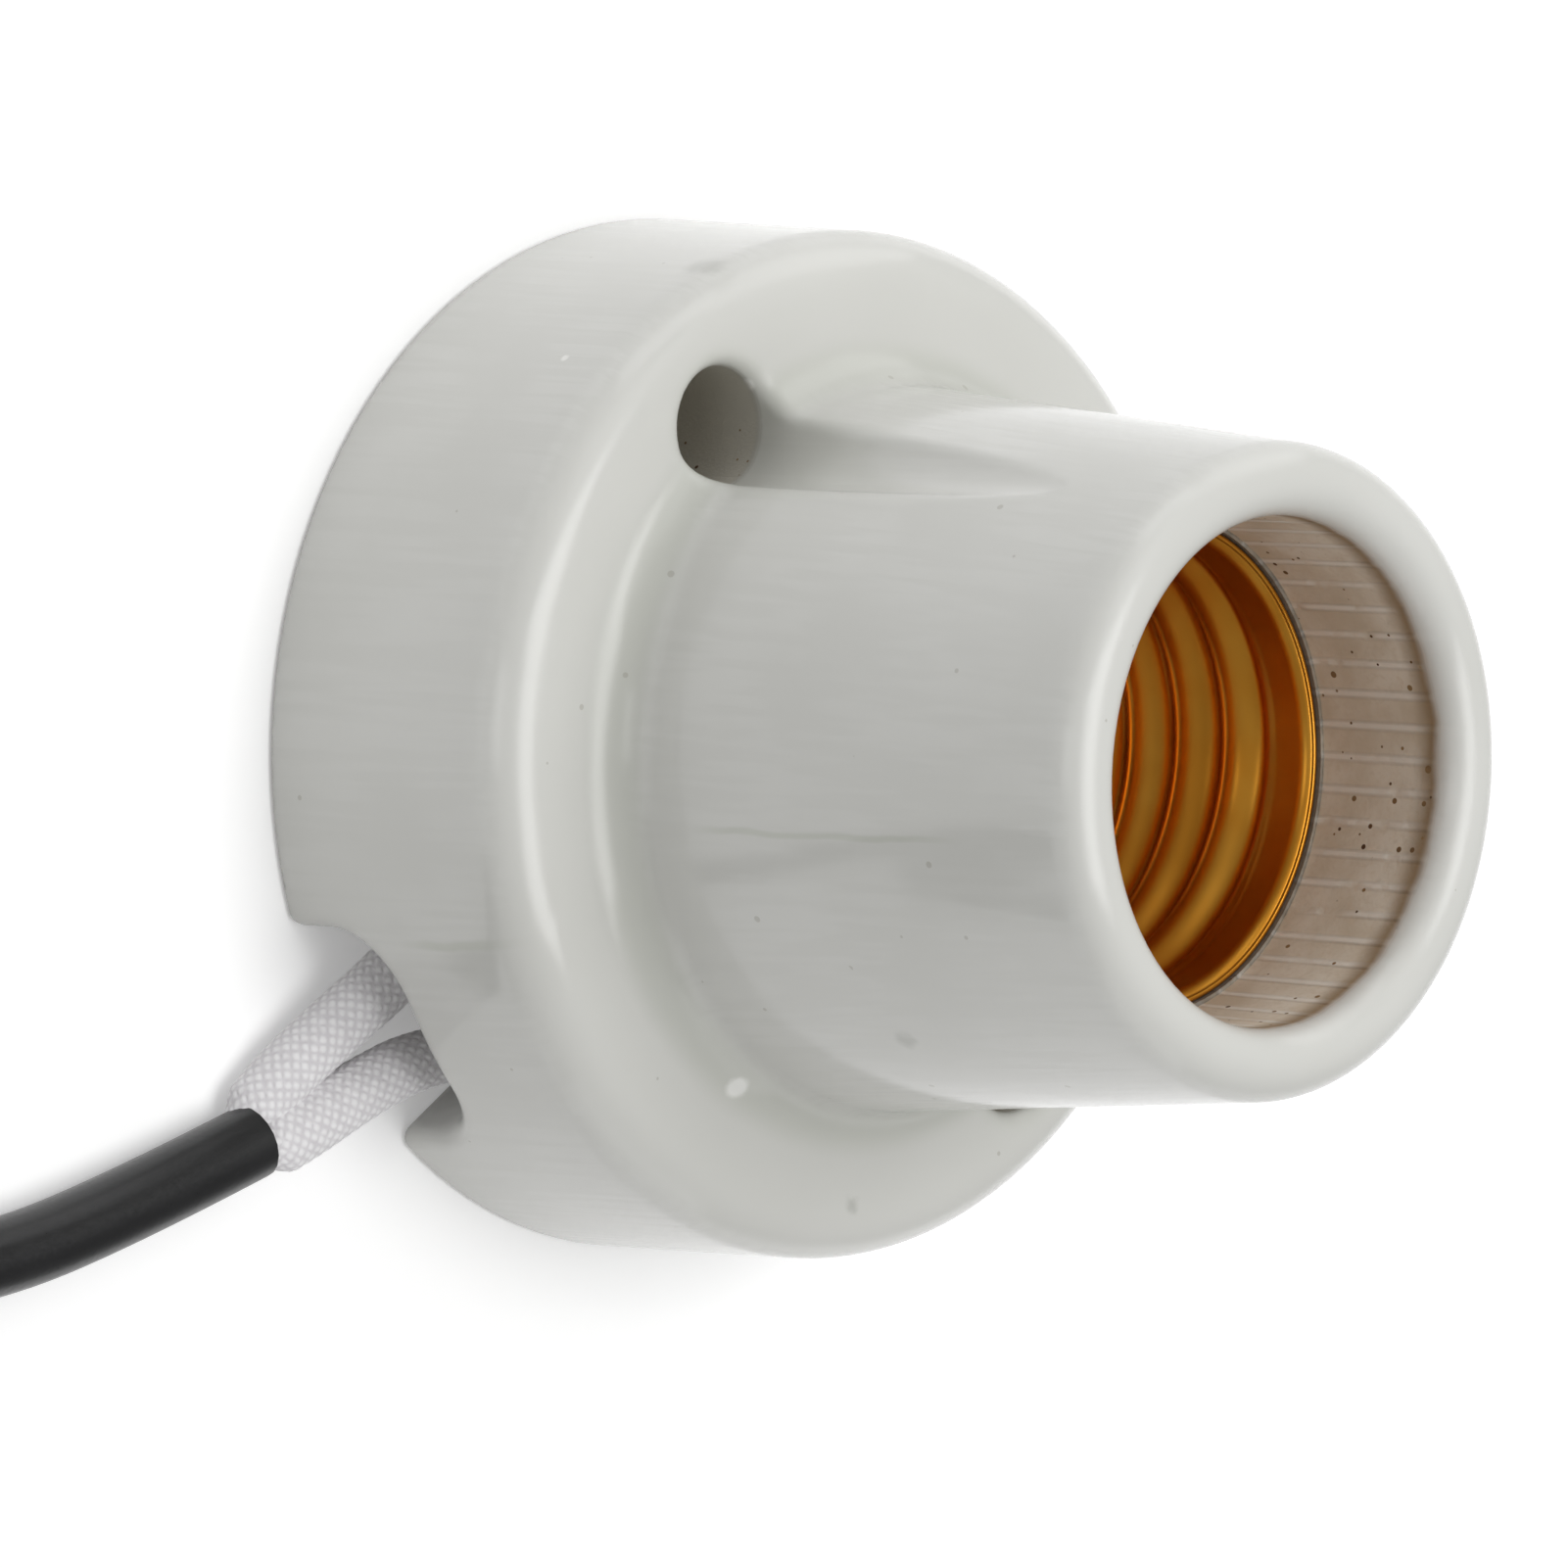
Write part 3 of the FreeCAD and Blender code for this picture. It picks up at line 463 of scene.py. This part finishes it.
    def iron_specks(self, m: Finish, on: Ground) -> tuple[bpy.types.NodeSocket, ...]:
        """Masks of the specks in the clay and of the few under the glaze, and their tint.

        A speck sits in most cells of a random pattern, with a radius that grows as
        the cube of a random number, so that most of them are small.
        """
        links = {"Vector": on.where, "Scale": 1.0 / self.speck_spacing, "Randomness": 1.0}
        cells = m.add("TexVoronoi", links).outputs
        chance, size, tint = m.add("SeparateColor", {0: cells["Color"]}).outputs
        reach = m.math("MULTIPLY_ADD", m.math("POWER", size, 3.0), 0.14, 0.1)
        near = m.span(m.math("SUBTRACT", reach, cells["Distance"]), 0.0, 0.04)
        specks = m.product(near, m.math("GREATER_THAN", chance, 0.2))
        flecks = m.product(near, m.math("GREATER_THAN", chance, 0.95))
        return specks, flecks, tint

    def glaze(self, m: Finish, on: Ground, strokes: Any, flecks: Any) -> bpy.types.NodeSocket:
        """Colour of the glaze: cloudy, pale over the strokes, greenish where it pools."""
        cloud = m.span(m.noise(on.where, 14.0, 1.0), 0.35, 0.75)
        out, up = (m.math("SUBTRACT", value, to) for value, to in zip((on.across, on.height), self.root))
        corner = m.fall(m.hypot(out, up), 0.5, 2.2)
        flute = m.product(
            m.fall(on.from_hole, self.hole_radius + 0.2, self.hole_radius + 1.6),
            m.fall(on.height, *self.flute_fade),
        )
        pool = m.math("MAXIMUM", m.product(corner, 0.3), m.product(flute, 0.15))
        colour = m.blend(m.product(cloud, 0.25), linear(self.body), linear(self.thin))
        colour = m.blend(m.product(strokes, 0.26), colour, linear(self.thin))
        colour = m.blend(pool, colour, linear(self.pooled))
        return m.blend(m.product(flecks, 0.35), colour, linear(self.fleck))

    def marks(self, m: Finish, on: Ground, colour: Any) -> bpy.types.NodeSocket:
        """Colour of the glaze with its creases, smudges and drops."""
        for slant, low, high in self.creases:
            turned = m.math("SUBTRACT", on.angle, slant)
            turned = m.math("MULTIPLY_ADD", m.noise(on.where, 5.0, 2.0), 0.04, turned)
            line = m.fall(m.math("ABSOLUTE", turned), 0.003, 0.014)
            ends = m.product(m.span(on.height, low, low + 4.0), m.fall(on.height, high - 5.0, high))
            outer = m.span(on.across, self.bore_radius + 1.35, self.bore_radius + 2.35)
            line = m.product(m.product(line, ends), outer)
            colour = m.blend(m.product(line, 0.4), colour, linear(self.pooled))
        for centre, radius in self.smudges:
            away = m.math("MULTIPLY_ADD", m.noise(on.where, 0.9, 3.0), 1.2, m.distance(on.where, centre))
            patch = m.fall(away, radius * 0.6, radius * 1.5)
            colour = m.blend(m.product(patch, 0.45), colour, linear(self.smoke))
        for centre, radius in self.beads:
            away = m.math("MULTIPLY_ADD", m.noise(on.where, 0.6, 2.0), 0.3, m.distance(on.where, centre))
            bead = m.fall(away, radius * 0.55, radius)
            colour = m.blend(m.product(bead, 0.85), colour, linear(self.drop))
        return colour

    def clay(self, m: Finish, on: Ground, ribs: Any) -> bpy.types.NodeSocket:
        """Colour of the raw clay: blotchy and dusty, with a painted highlight on the ribs and painted shade
        in the gap.
        """
        blotch = m.span(m.noise(on.where, 4.0, 4.0), 0.3, 0.7)
        dust = m.span(m.noise(on.where, 0.4, 3.0), 0.45, 0.75)
        colour = m.blend(blotch, linear(self.raw), linear(self.dusty))
        colour = m.blend(m.product(dust, 0.5), colour, linear(self.dusty))
        # Painted highlight: the ribs are painted paler than the clay round them.
        colour = m.blend(m.product(ribs, 0.8), colour, linear(self.rib_highlight))
        colour = m.blend(m.product(on.stain, 0.9), colour, linear(self.stain))
        # Painted shade in the gap under the ledge.
        colour = m.blend(m.product(on.gap, 0.8), colour, linear(self.gap))
        return m.blend(on.hole, colour, linear(self.hole))


@dataclass(frozen=True)
class GoldLacqueredBrass:
    """Sheet brass under gold lacquer, pressed and thread-rolled, bright."""

    metal: str = "#E0A03C"
    deep: str = "#D89230"
    draw_line: float = 0.3  # width of a rolling line

    def material(self) -> bpy.types.Material:
        """Builds the metal with fine rolling lines round the shell."""
        m = Finish("gold_lacquered_brass")
        where = m.place((0.04, 0.04, 1.0))
        lines = m.noise(where, self.draw_line, 3.0, 0.6)
        cloud = m.noise(m.place(), 5.0, 2.0)
        m.shade(
            Base_Color=m.blend(m.span(cloud, 0.3, 0.7), linear(self.metal), linear(self.deep)),
            Metallic=1.0,
            Roughness=m.math("MULTIPLY_ADD", lines, 0.08, 0.29),
            Normal=m.bump(lines, 0.002),
        )
        return m.material


@dataclass(frozen=True)
class RolledMetal:
    """Plain sheet or turned metal with fine rolling lines and handling dulling."""

    name: str
    metal: str
    dull: str
    rough: float

    def material(self) -> bpy.types.Material:
        """Builds the metal."""
        m = Finish(self.name)
        lines = m.noise(m.place((0.05, 1.0, 1.0)), 0.3, 3.0)
        cloud = m.noise(m.place(), 2.5, 3.0)
        m.shade(
            Base_Color=m.blend(m.span(cloud, 0.35, 0.75), linear(self.metal), linear(self.dull)),
            Metallic=1.0,
            Roughness=m.math("MULTIPLY_ADD", lines, 0.2, self.rough),
            Normal=m.bump(lines, 0.01),
        )
        return m.material


@dataclass(frozen=True)
class ExtrudedPlastic:
    """Extruded rubber or plastic cover: satin, with faint drag lines and patches of dust, which on the
    black rubber are also painted sheen.
    """

    name: str
    colour: str
    worn: str
    rough: float
    index: float = 1.5

    def material(self) -> bpy.types.Material:
        """Builds the cover."""
        m = Finish(self.name)
        grain = m.noise(m.place(), 0.35, 4.0, 0.6)
        cloud = m.noise(m.place(), 6.0, 3.0)
        m.shade(
            Base_Color=m.blend(m.span(cloud, 0.45, 0.85), linear(self.colour), linear(self.worn)),
            Roughness=m.math("MULTIPLY_ADD", grain, 0.2, self.rough),
            IOR=self.index,
            Normal=m.bump(grain, 0.01),
        )
        return m.material


@dataclass(frozen=True)
class GlassFibreBraid:
    """Braided glass-fibre sleeving: white bundles with a silky glint."""

    yarn: str = "#F0EFF0"
    # Painted shade in the hollows between the bundles.
    shade: str = "#D6D3D6"

    def material(self) -> bpy.types.Material:
        """Builds the yarn, with painted shade in the hollows between the bundles' tops given by the relief
        attribute.
        """
        m = Finish("glass_fibre_braid")
        relief = m.add("Attribute", attribute_name="relief").outputs["Fac"]
        relief = m.math("MULTIPLY_ADD", m.noise(m.place(), 0.6, 2.0), 1.3, m.math("SUBTRACT", relief, 0.65))
        fuzz = m.noise(m.place(), 0.12, 3.0)
        m.shade(
            # Yarn colour on the bundles' tops, painted shade in the hollows.
            Base_Color=m.blend(m.span(relief, -0.1, 1.05), linear(self.shade), linear(self.yarn)),
            Roughness=0.55,
            Normal=m.bump(fuzz, 0.02),
        )
        m.shader.inputs["Sheen Weight"].default_value = 0.15
        return m.material


# Name, colour and worn colour of the cover of each core, and how dull the covers are.
COVERS = {
    Core.LIVE: ("brown_insulation", "#5A3420", "#6B4430"),
    Core.NEUTRAL: ("blue_insulation", "#1E4E9E", "#3563AD"),
}
COVER_ROUGHNESS = 0.35


# -------------------------------------------------- the view and the sub-assemblies
@dataclass
class View:
    """The camera and the studio round the part."""

    place: tuple[float, float, float] = (-216.0, -273.9, 347.5)
    ahead: tuple[float, float, float] = (0.4499, 0.5623, -0.6938)
    right: tuple[float, float, float] = (0.3802, 0.5823, 0.7185)
    lens: float = 191.1
    film: float = 36.0
    floor_radius: float = 3000.0
    floor_sides: int = 96
    floor_glow: float = 0.25  # light that the floor adds where it is looked at
    sky_light: float = 0.3  # strength of the sky as a light
    sky_seen: float = 1.0  # strength of the sky as a backdrop
    lamp_distance: float = 0.9  # metres from the part to each lamp
    aim_height: float = 0.02  # metres over the floor that the lamps aim at
    # Name, direction from the part, side in metres and watts of each lamp.
    lamps: tuple[tuple[str, tuple[float, float, float], float, float], ...] = (
        ("mouth_lamp", (0.02, 0.05, 1.0), 0.62, 4.55),
        ("slant_lamp", (-0.4, 0.3, 0.87), 0.6, 0.8),
        ("side_lamp", (-0.75, 0.55, 0.32), 0.42, 0.85),
        ("back_lamp", (-0.33, 0.88, 0.35), 0.55, 1.1),
        ("fill_lamp", (0.8, -0.58, 0.15), 0.6, 0.75),
        ("low_lamp", (-0.56, -0.68, 0.47), 0.26, 0.35),
    )

    def camera(self) -> None:
        """Sets the camera, whose axes are right, up and away from the part."""
        data = bpy.data.cameras.new("view")
        data.lens, data.sensor_width = self.lens, self.film
        data.clip_start, data.clip_end = 0.01, 20.0
        ahead = Vector(self.ahead).normalized()
        right = Vector(self.right)
        right = (right - ahead * right.dot(ahead)).normalized()
        up = right.cross(ahead)
        turn = Matrix((right, up, -ahead)).transposed().to_4x4()
        camera = bpy.data.objects.new("view", data)
        camera.matrix_world = Matrix.Translation(Vector(self.place) * MM) @ turn
        bpy.context.scene.collection.objects.link(camera)
        bpy.context.scene.camera = camera

    def lamp(self, name: str, toward: tuple[float, float, float], size: float, watts: float) -> None:
        """Adds a square soft lamp aimed at the part.

        Args:
            name: name of the lamp.
            toward: direction from the part to the lamp.
            size: side of the lamp in metres.
            watts: power of the lamp.
        """
        data = bpy.data.lights.new(name, "AREA")
        data.size, data.energy = size, watts
        lamp = bpy.data.objects.new(name, data)
        away = Vector(toward).normalized()
        lamp.location = away * self.lamp_distance + Vector((0.0, 0.0, self.aim_height))
        lamp.rotation_euler = away.to_track_quat("Z", "Y").to_euler()
        bpy.context.scene.collection.objects.link(lamp)

    def sky(self) -> None:
        """Makes the white sky, dimmer as a light than as a backdrop."""
        world = bpy.data.worlds.new("studio")
        bpy.context.scene.world = world
        world.use_nodes = True
        nodes, links = world.node_tree.nodes, world.node_tree.links
        sky = nodes["Background"]
        sky.inputs["Color"].default_value = (1.0, 1.0, 1.0, 1.0)
        path = nodes.new("ShaderNodeLightPath")
        strength = nodes.new("ShaderNodeMapRange")
        strength.inputs["To Min"].default_value = self.sky_light
        strength.inputs["To Max"].default_value = self.sky_seen
        links.new(path.outputs["Is Camera Ray"], strength.inputs["Value"])
        links.new(strength.outputs[0], sky.inputs["Strength"])

    def floor(self) -> None:
        """Makes the round sheet of white paper that the part stands on."""
        angle = np.linspace(0.0, 2 * math.pi, self.floor_sides, endpoint=False)
        radii = np.array([0.0, 1.0])[:, None] * self.floor_radius
        rim = np.stack([radii * np.cos(angle), radii * np.sin(angle), 0.0 * radii * angle], axis=2)
        faces = grid_faces(2, self.floor_sides, False, True)[:, ::-1]
        floor = new_mesh("floor", rim.reshape(-1, 3), faces, smooth=False)
        m = Finish("white_paper")
        rays = m.add("LightPath").outputs
        seen = m.math("MAXIMUM", rays["Is Camera Ray"], rays["Is Glossy Ray"])
        seen = m.math("MAXIMUM", seen, rays["Is Transmission Ray"])
        m.shade(
            Base_Color=linear("#F4F4F4"),
            Roughness=0.9,
            Emission_Color=(1.0, 1.0, 1.0, 1.0),
            Emission_Strength=m.product(seen, self.floor_glow),
        )
        floor.data.materials.append(m.material)

    def studio(self) -> None:
        """Builds the sky, the lamps and the floor."""
        self.sky()
        for name, toward, size, watts in self.lamps:
            self.lamp(name, toward, size, watts)
        self.floor()


@dataclass
class Lead:
    """Black two-core lead: a short visible run, the spare coil and the bare end."""

    thickness: float = 4.3
    route: Route = field(default_factory=lambda: [
        (-0.5, -39.9, 2.15),
        (-3.2, -49.3, 2.15),
        (-6.9, -59.3, 2.15),
        (-13.4, -69.6, 2.15),
        (-21.6, -79.2, 2.15),
        (-28.6, -89.6, 2.4),
        (-31.6, -101.2, 2.75),
    ])
    coil_centre: tuple[float, float] = (-6.0, -103.0)
    tail: Route = field(default_factory=lambda: [
        (-8.5, -128.6, 7.0),
        (-1.0, -129.0, 6.9),
        (6.8, -128.6, 5.8),
        (14.0, -127.0, 3.7),
        (20.2, -124.6, 2.3),
    ])
    turns: float = 3.25
    points_per_turn: int = 16
    middle_radius: float = 23.65
    low: float = 2.75  # height of the lower places
    swap: float = 0.18  # share of a turn in which the lead changes its place in the coil
    run_in: float = 0.06  # share of a turn by which the coil starts after the run
    run_out: float = 0.02  # share of a turn by which it ends before the tail

    def coil(self) -> Route:
        """Control points of the coil.

        The lead goes round at four places in turn: outer low, inner low, inner
        high and outer high.  The radius and the height are eased from place to
        place over the share swap of a turn, each change before the one that it
        would run into.  A smooth line cuts inside its points, by the mean of 1 and
        the cosine of half a step on average, so the radius is divided by that.

        Returns:
            The points, in the order in which the lead runs.
        """
        step = 2 * math.pi / self.points_per_turn
        turn = np.arange(self.run_in, self.turns - self.run_out, 1.0 / self.points_per_turn)
        inward = ease(turn, 1.0 - self.swap, 1.0)
        rise = ease(turn, 2.0 - 2 * self.swap, 2.0 - self.swap)
        outward = ease(turn, 3.0 - 3 * self.swap, 3.0 - 2 * self.swap)
        half = self.thickness / 2
        radius = self.middle_radius + half * (1.0 - 2.0 * inward + 2.0 * outward)
        radius = radius / (0.5 + 0.5 * math.cos(step / 2))
        angle = math.pi + 2 * math.pi * turn
        height = self.low + self.thickness * rise
        points = np.stack([
            self.coil_centre[0] + radius * np.cos(angle),
            self.coil_centre[1] + radius * np.sin(angle),
            height,
        ], axis=1)
        return [tuple(point) for point in points.tolist()]

    def build(self) -> bpy.types.Object:
        """Makes the jacket as one cord."""
        jacket = cord_curve("lead_jacket", self.route + self.coil() + self.tail, self.thickness / 2)
        # Its lighter second colour, in random patches, is dust and painted sheen.
        rubber = ExtrudedPlastic("black_rubber", "#0E0E10", "#18181A", 0.22, 1.52)
        jacket.data.materials.append(rubber.material())
        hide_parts("cable_lead", "cable_coil", "cable_tail")
        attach(jacket, Body.ROOT.value)
        return jacket


@dataclass
class Sleeve:
    """Braided glass-fibre sleeve round one core, flattened by the notch."""

    core: Core
    route: Route
    width: float = 3.6
    fan: tuple[float, float] = (1.0, 1.0)  # share of the width at the jacket and in the notch
    depth: float = 2.5
    wall: float = 0.2
    bundles: int = 14  # bundles that wind each way
    pitch: float = 11.0  # length of one turn of a bundle
    relief: float = 0.05  # how far the bundles stand out
    crossing: float = 4.0  # how sharply one bundle goes over another
    along: int = 320  # rings of the woven skin
    around: int = 200  # points round each ring
    lining: int = 20  # rings of the plain inner skin
    squeeze: float = 0.62  # share of its width that the sleeve has inside the jacket
    flattening: float = 0.4  # how much of the squeeze the depth takes part in
    opening: tuple[float, float] = (1.2, 3.0)  # lengths of line between which it opens out
    flat: tuple[float, float, float] = (0.89, -0.26, 0.37)  # direction of its width

    def build(self) -> bpy.types.Object:
        """Makes the sleeve.

        The section is an ellipse of the stated depth, and of the stated width times
        the fan, carried along the route and squeezed where the jacket holds it.
        Bundles wind both ways: with p and q the phases of the two families, the
        first shows where cos p cos q is positive, and the relief is the rounded top
        cos^2 of the bundle that shows.

        Returns:
            The sleeve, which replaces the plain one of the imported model.
        """
        line = line_along(self.route, self.along)
        _, across, out = frames_along(line, Vector(self.flat))
        run = np.concatenate([[0.0], np.cumsum(np.linalg.norm(np.diff(line, axis=0), axis=1))])
        angle = np.linspace(0.0, 2 * math.pi, self.around, endpoint=False)
        lay = 2 * math.pi * run[:, None] / self.pitch
        first = self.bundles / 2 * (angle[None, :] + lay)
        second = self.bundles / 2 * (angle[None, :] - lay)
        over = 0.5 + 0.5 * np.tanh(self.crossing * np.cos(first) * np.cos(second))
        height = over * np.cos(first) ** 2 + (1 - over) * np.cos(second) ** 2
        grow = (height - 1.0) * self.relief
        loose = (self.squeeze + (1 - self.squeeze) * ease(run, *self.opening))[:, None]
        fan = np.interp(run, [0.0, run[-1]], self.fan)[:, None]

        def skin(rows: slice, sunk: np.ndarray) -> np.ndarray:
            """Points of the ellipse, sunk below the stated size, on these rows."""
            wide = (self.width / 2 * loose[rows] * fan[rows] + sunk) * np.cos(angle)
            share = 1 - self.flattening + self.flattening * loose[rows]
            deep = (self.depth / 2 * share + sunk) * np.sin(angle)
            ring = across[rows, None] * wide[..., None] + out[rows, None] * deep[..., None]
            return line[rows, None] + ring

        outside = skin(slice(None), grow)
        inside = skin(slice(None, None, -(self.along // self.lining)), np.array([[-self.wall]]))
        points = np.concatenate([outside, inside])
        rows = len(points)
        faces = grid_faces(rows, self.around, True, True)[:, ::-1]
        sleeve = new_mesh(f"{self.core.value}_braid", points.reshape(-1, 3), faces)
        # Tops of the bundles; the braid's finish paints shade where they are low.
        tops = np.abs(np.cos(first) * np.cos(second))
        shown = np.concatenate([tops, np.zeros((rows - self.along, self.around))])
        attribute = sleeve.data.attributes.new("relief", "FLOAT", "POINT")
        attribute.data.foreach_set("value", shown.astype(np.float32).ravel())
        sleeve.data.materials.append(GlassFibreBraid().material())
        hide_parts(f"{self.core.value}_sleeve")
        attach(sleeve, Body.ROOT.value)
        return sleeve


# Line of each core from inside the jacket to its wire screw.  Its sleeve ends one point before.
CORE_ROUTES: dict[Core, Route] = {
    Core.LIVE: [
        (-1.2, -41.2, 1.7),
        (-2.1, -37.0, 1.9),
        (-2.3, -32.0, 2.4),
        (-2.7, -27.0, 3.6),
        (-4.7, -20.7, 6.4),
        (-5.8, -16.7, 8.2),
    ],
    Core.NEUTRAL: [
        (-0.4, -41.4, 2.7),
        (0.65, -37.6, 2.8),
        (1.6, -32.4, 2.8),
        (2.6, -27.4, 3.6),
        (6.0, -20.9, 5.8),
        (8.4, -16.9, 8.2),
    ],
}
# Share of its width that each sleeve has at the jacket and in the notch.
FANS = {Core.LIVE: (1.03, 1.03), Core.NEUTRAL: (1.12, 0.86)}


@dataclass
class CoreWire:
    """Insulated core that runs inside its sleeve to its terminal."""

    core: Core
    route: Route
    radius: float = 0.83

    def build(self) -> bpy.types.Object:
        """Makes the core along its sleeve's line and on to the wire screw."""
        wire = cord_curve(f"{self.core.value}_insulation", self.route, self.radius)
        wire.data.materials.append(ExtrudedPlastic(*COVERS[self.core], COVER_ROUGHNESS).material())
        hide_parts(f"{self.core.value}_core")
        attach(wire, Body.ROOT.value)
        return wire


@dataclass
class ScrewShell:
    """Thread-rolled brass shell of the socket."""

    outer: float = 13.9
    wall: float = 0.35
    rim: float = 40.15
    bead: float = 0.04  # how much the sheet is upset at its rim
    bead_height: float = 0.7  # height over which it thickens
    flare: float = 0.48  # how much the rim opens out over the collar
    mouth: float = 0.6  # height over which it opens
    floor: float = 17.0
    bend: float = 1.2
    flange: float = 8.5
    pitch: float = 3.629
    depth: float = 1.15
    first_crest: float = 34.6
    crest_angle: float = 51.0
    thread_top: float = 37.2  # height of the smooth collar over the thread
    thread_foot: float = 20.4  # height of the smooth band under it
    foot_ease: tuple[float, float] = (-1.2, 1.0)  # from the foot, where the thread fades in
    top_ease: tuple[float, float] = (-1.1, 0.3)  # from the top, where the thread fades out
    collar_ease: tuple[float, float] = (-1.0, 0.6)  # from the top, where the collar sets in
    around: int = 240  # points round the axis, and then along each stretch of the line
    up_wall: int = 220
    over_floor: int = 12
    round_bend: int = 9

    def wall_radius(self, angle: np.ndarray, level: np.ndarray, swell: np.ndarray) -> np.ndarray:
        """Radius of the middle line of the sheet up the wall.

        It is the shell's radius, less the thread's depth times a rounded wave of
        the height less the angle's share of the pitch, eased in and out at the
        smooth bands, less the bead's swelling, and less the flare from the collar
        on, which is taken back as the square of the way up the mouth.

        Args:
            angle: (n, 1) angles round the axis in radians.
            level: (1, m) heights.
            swell: (1, m) half of what the bead adds to the sheet.

        Returns:
            (n, m) radii.
        """
        around = angle - math.radians(self.crest_angle)
        crest = 0.5 + 0.5 * np.cos(2 * math.pi * (level - self.first_crest) / self.pitch - around)
        zone = ease(level, *(self.thread_foot + step for step in self.foot_ease))
        zone = zone * (1.0 - ease(level, *(self.thread_top + step for step in self.top_ease)))
        opened = np.clip((level - level[0, -1]) / self.mouth + 1.0, 0.0, 1.0) ** 2
        collar = ease(level, *(self.thread_top + step for step in self.collar_ease)) * (1.0 - opened)
        return self.outer - self.wall / 2 - self.depth * crest * zone - swell - self.flare * collar

    def build(self) -> bpy.types.Object:
        """Makes the shell.

        The middle line of the sheet runs along the floor, round the bend and up
        the wall.  The two skins lie half the sheet's thickness along the line's
        normal, closed by a rim upset to a round bead.

        Returns:
            The shell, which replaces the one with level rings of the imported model.
        """
        angle = np.linspace(0.0, 2 * math.pi, self.around, endpoint=False)[:, None]
        half = self.wall / 2
        middle, base, bend = self.outer - half, self.floor + half, self.bend - half
        top = self.rim - half - self.bead
        corner = np.linspace(-math.pi / 2, 0.0, self.round_bend)[None, 1:-1]
        level = np.linspace(base + bend, top, self.up_wall)[None, :]
        swell = self.bead * ease(level, top - self.bead_height, top)
        ones = np.ones_like(angle)
        radius = np.concatenate([
            ones * np.linspace(self.flange, middle - bend, self.over_floor)[None, :],
            ones * (middle - bend + bend * np.cos(corner)),
            self.wall_radius(angle, level, swell),
        ], axis=1)
        height = np.concatenate([
            ones * np.full((1, self.over_floor), base),
            ones * (base + bend + bend * np.sin(corner)),
            ones * level,
        ], axis=1)
        thick = np.concatenate([
            ones * np.full((1, self.over_floor + corner.shape[1]), half),
            ones * (half + swell),
        ], axis=1)
        rise, run = np.gradient(height, axis=1), np.gradient(radius, axis=1)
        length = np.hypot(rise, run)
        away_r, away_z = rise / length * thick, -run / length * thick
        lip = np.linspace(0.0, math.pi, self.round_bend)[None, 1:-1]
        lip_r = radius[:, -1:] + thick[:, -1:] * np.cos(lip)
        lip_z = height[:, -1:] + thick[:, -1:] * np.sin(lip)
        r = np.concatenate([radius + away_r, lip_r, (radius - away_r)[:, ::-1]], axis=1)
        z = np.concatenate([height + away_z, lip_z, (height - away_z)[:, ::-1]], axis=1)
        points = np.stack([r * np.cos(angle), r * np.sin(angle), z], axis=2)
        faces = grid_faces(self.around, r.shape[1], True, True)[:, ::-1]
        shell = new_mesh("threaded_shell", points.reshape(-1, 3), faces)
        shell.data.materials.append(GoldLacqueredBrass().material())
        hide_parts("screw_shell")
        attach(shell, Body.ROOT.value)
        return shell


def dress_fixed_parts() -> None:
    """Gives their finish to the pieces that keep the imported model's own mesh."""
    brass = RolledMetal("rolled_brass", "#D9B26A", "#B98F4C", 0.26).material()
    nickel = RolledMetal("nickel_plate", "#C9C8C4", "#A9A8A4", 0.22).material()
    tinned = RolledMetal("tinned_copper", "#CFC8BE", "#B8AEA2", 0.3).material()
    finishes = {
        "porcelain_body": GlazedPorcelain().material(),
        "centre_contact": brass,
        "centre_terminal": brass,
        "shell_terminal": brass,
        "coil_tie": ExtrudedPlastic("black_nylon", "#141414", "#222222", 0.45).material(),
    }
    for core, cover in COVERS.items():
        finishes[f"{core.value}_tail_core"] = ExtrudedPlastic(*cover, COVER_ROUGHNESS).material()
        finishes[f"{core.value}_conductor"] = tinned
        finishes[f"{core.value}_tail_tip"] = tinned
    for name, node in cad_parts.items():
        if name.endswith(("_screw", "_nut")):
            finishes[name] = nickel
        if name in finishes:
            node.data.materials.clear()
            node.data.materials.append(finishes[name])
            log.info("%s: %s", name, finishes[name].name)


def main() -> None:
    """Builds the view, the lead, the sleeves and the shell, then the finishes."""
    logging.basicConfig(level=logging.INFO, format="%(message)s")
    bpy.context.scene.view_settings.view_transform = "Standard"
    view = View()
    view.camera()
    jacket = Lead().build()
    going_with = ["coil_tie"]
    for core, route in CORE_ROUTES.items():
        going_with += [Sleeve(core, route[:-1], fan=FANS[core]).build(), CoreWire(core, route).build()]
        going_with += [f"{core.value}_{part}" for part in ("conductor", "tail_core", "tail_tip")]
    shell = ScrewShell().build()
    view.studio()
    dress_fixed_parts()
    for piece in [jacket, shell, *(item for item in going_with if not isinstance(item, str))]:
        log.info("%s built", piece.name)


if __name__ == "__main__":
    main()
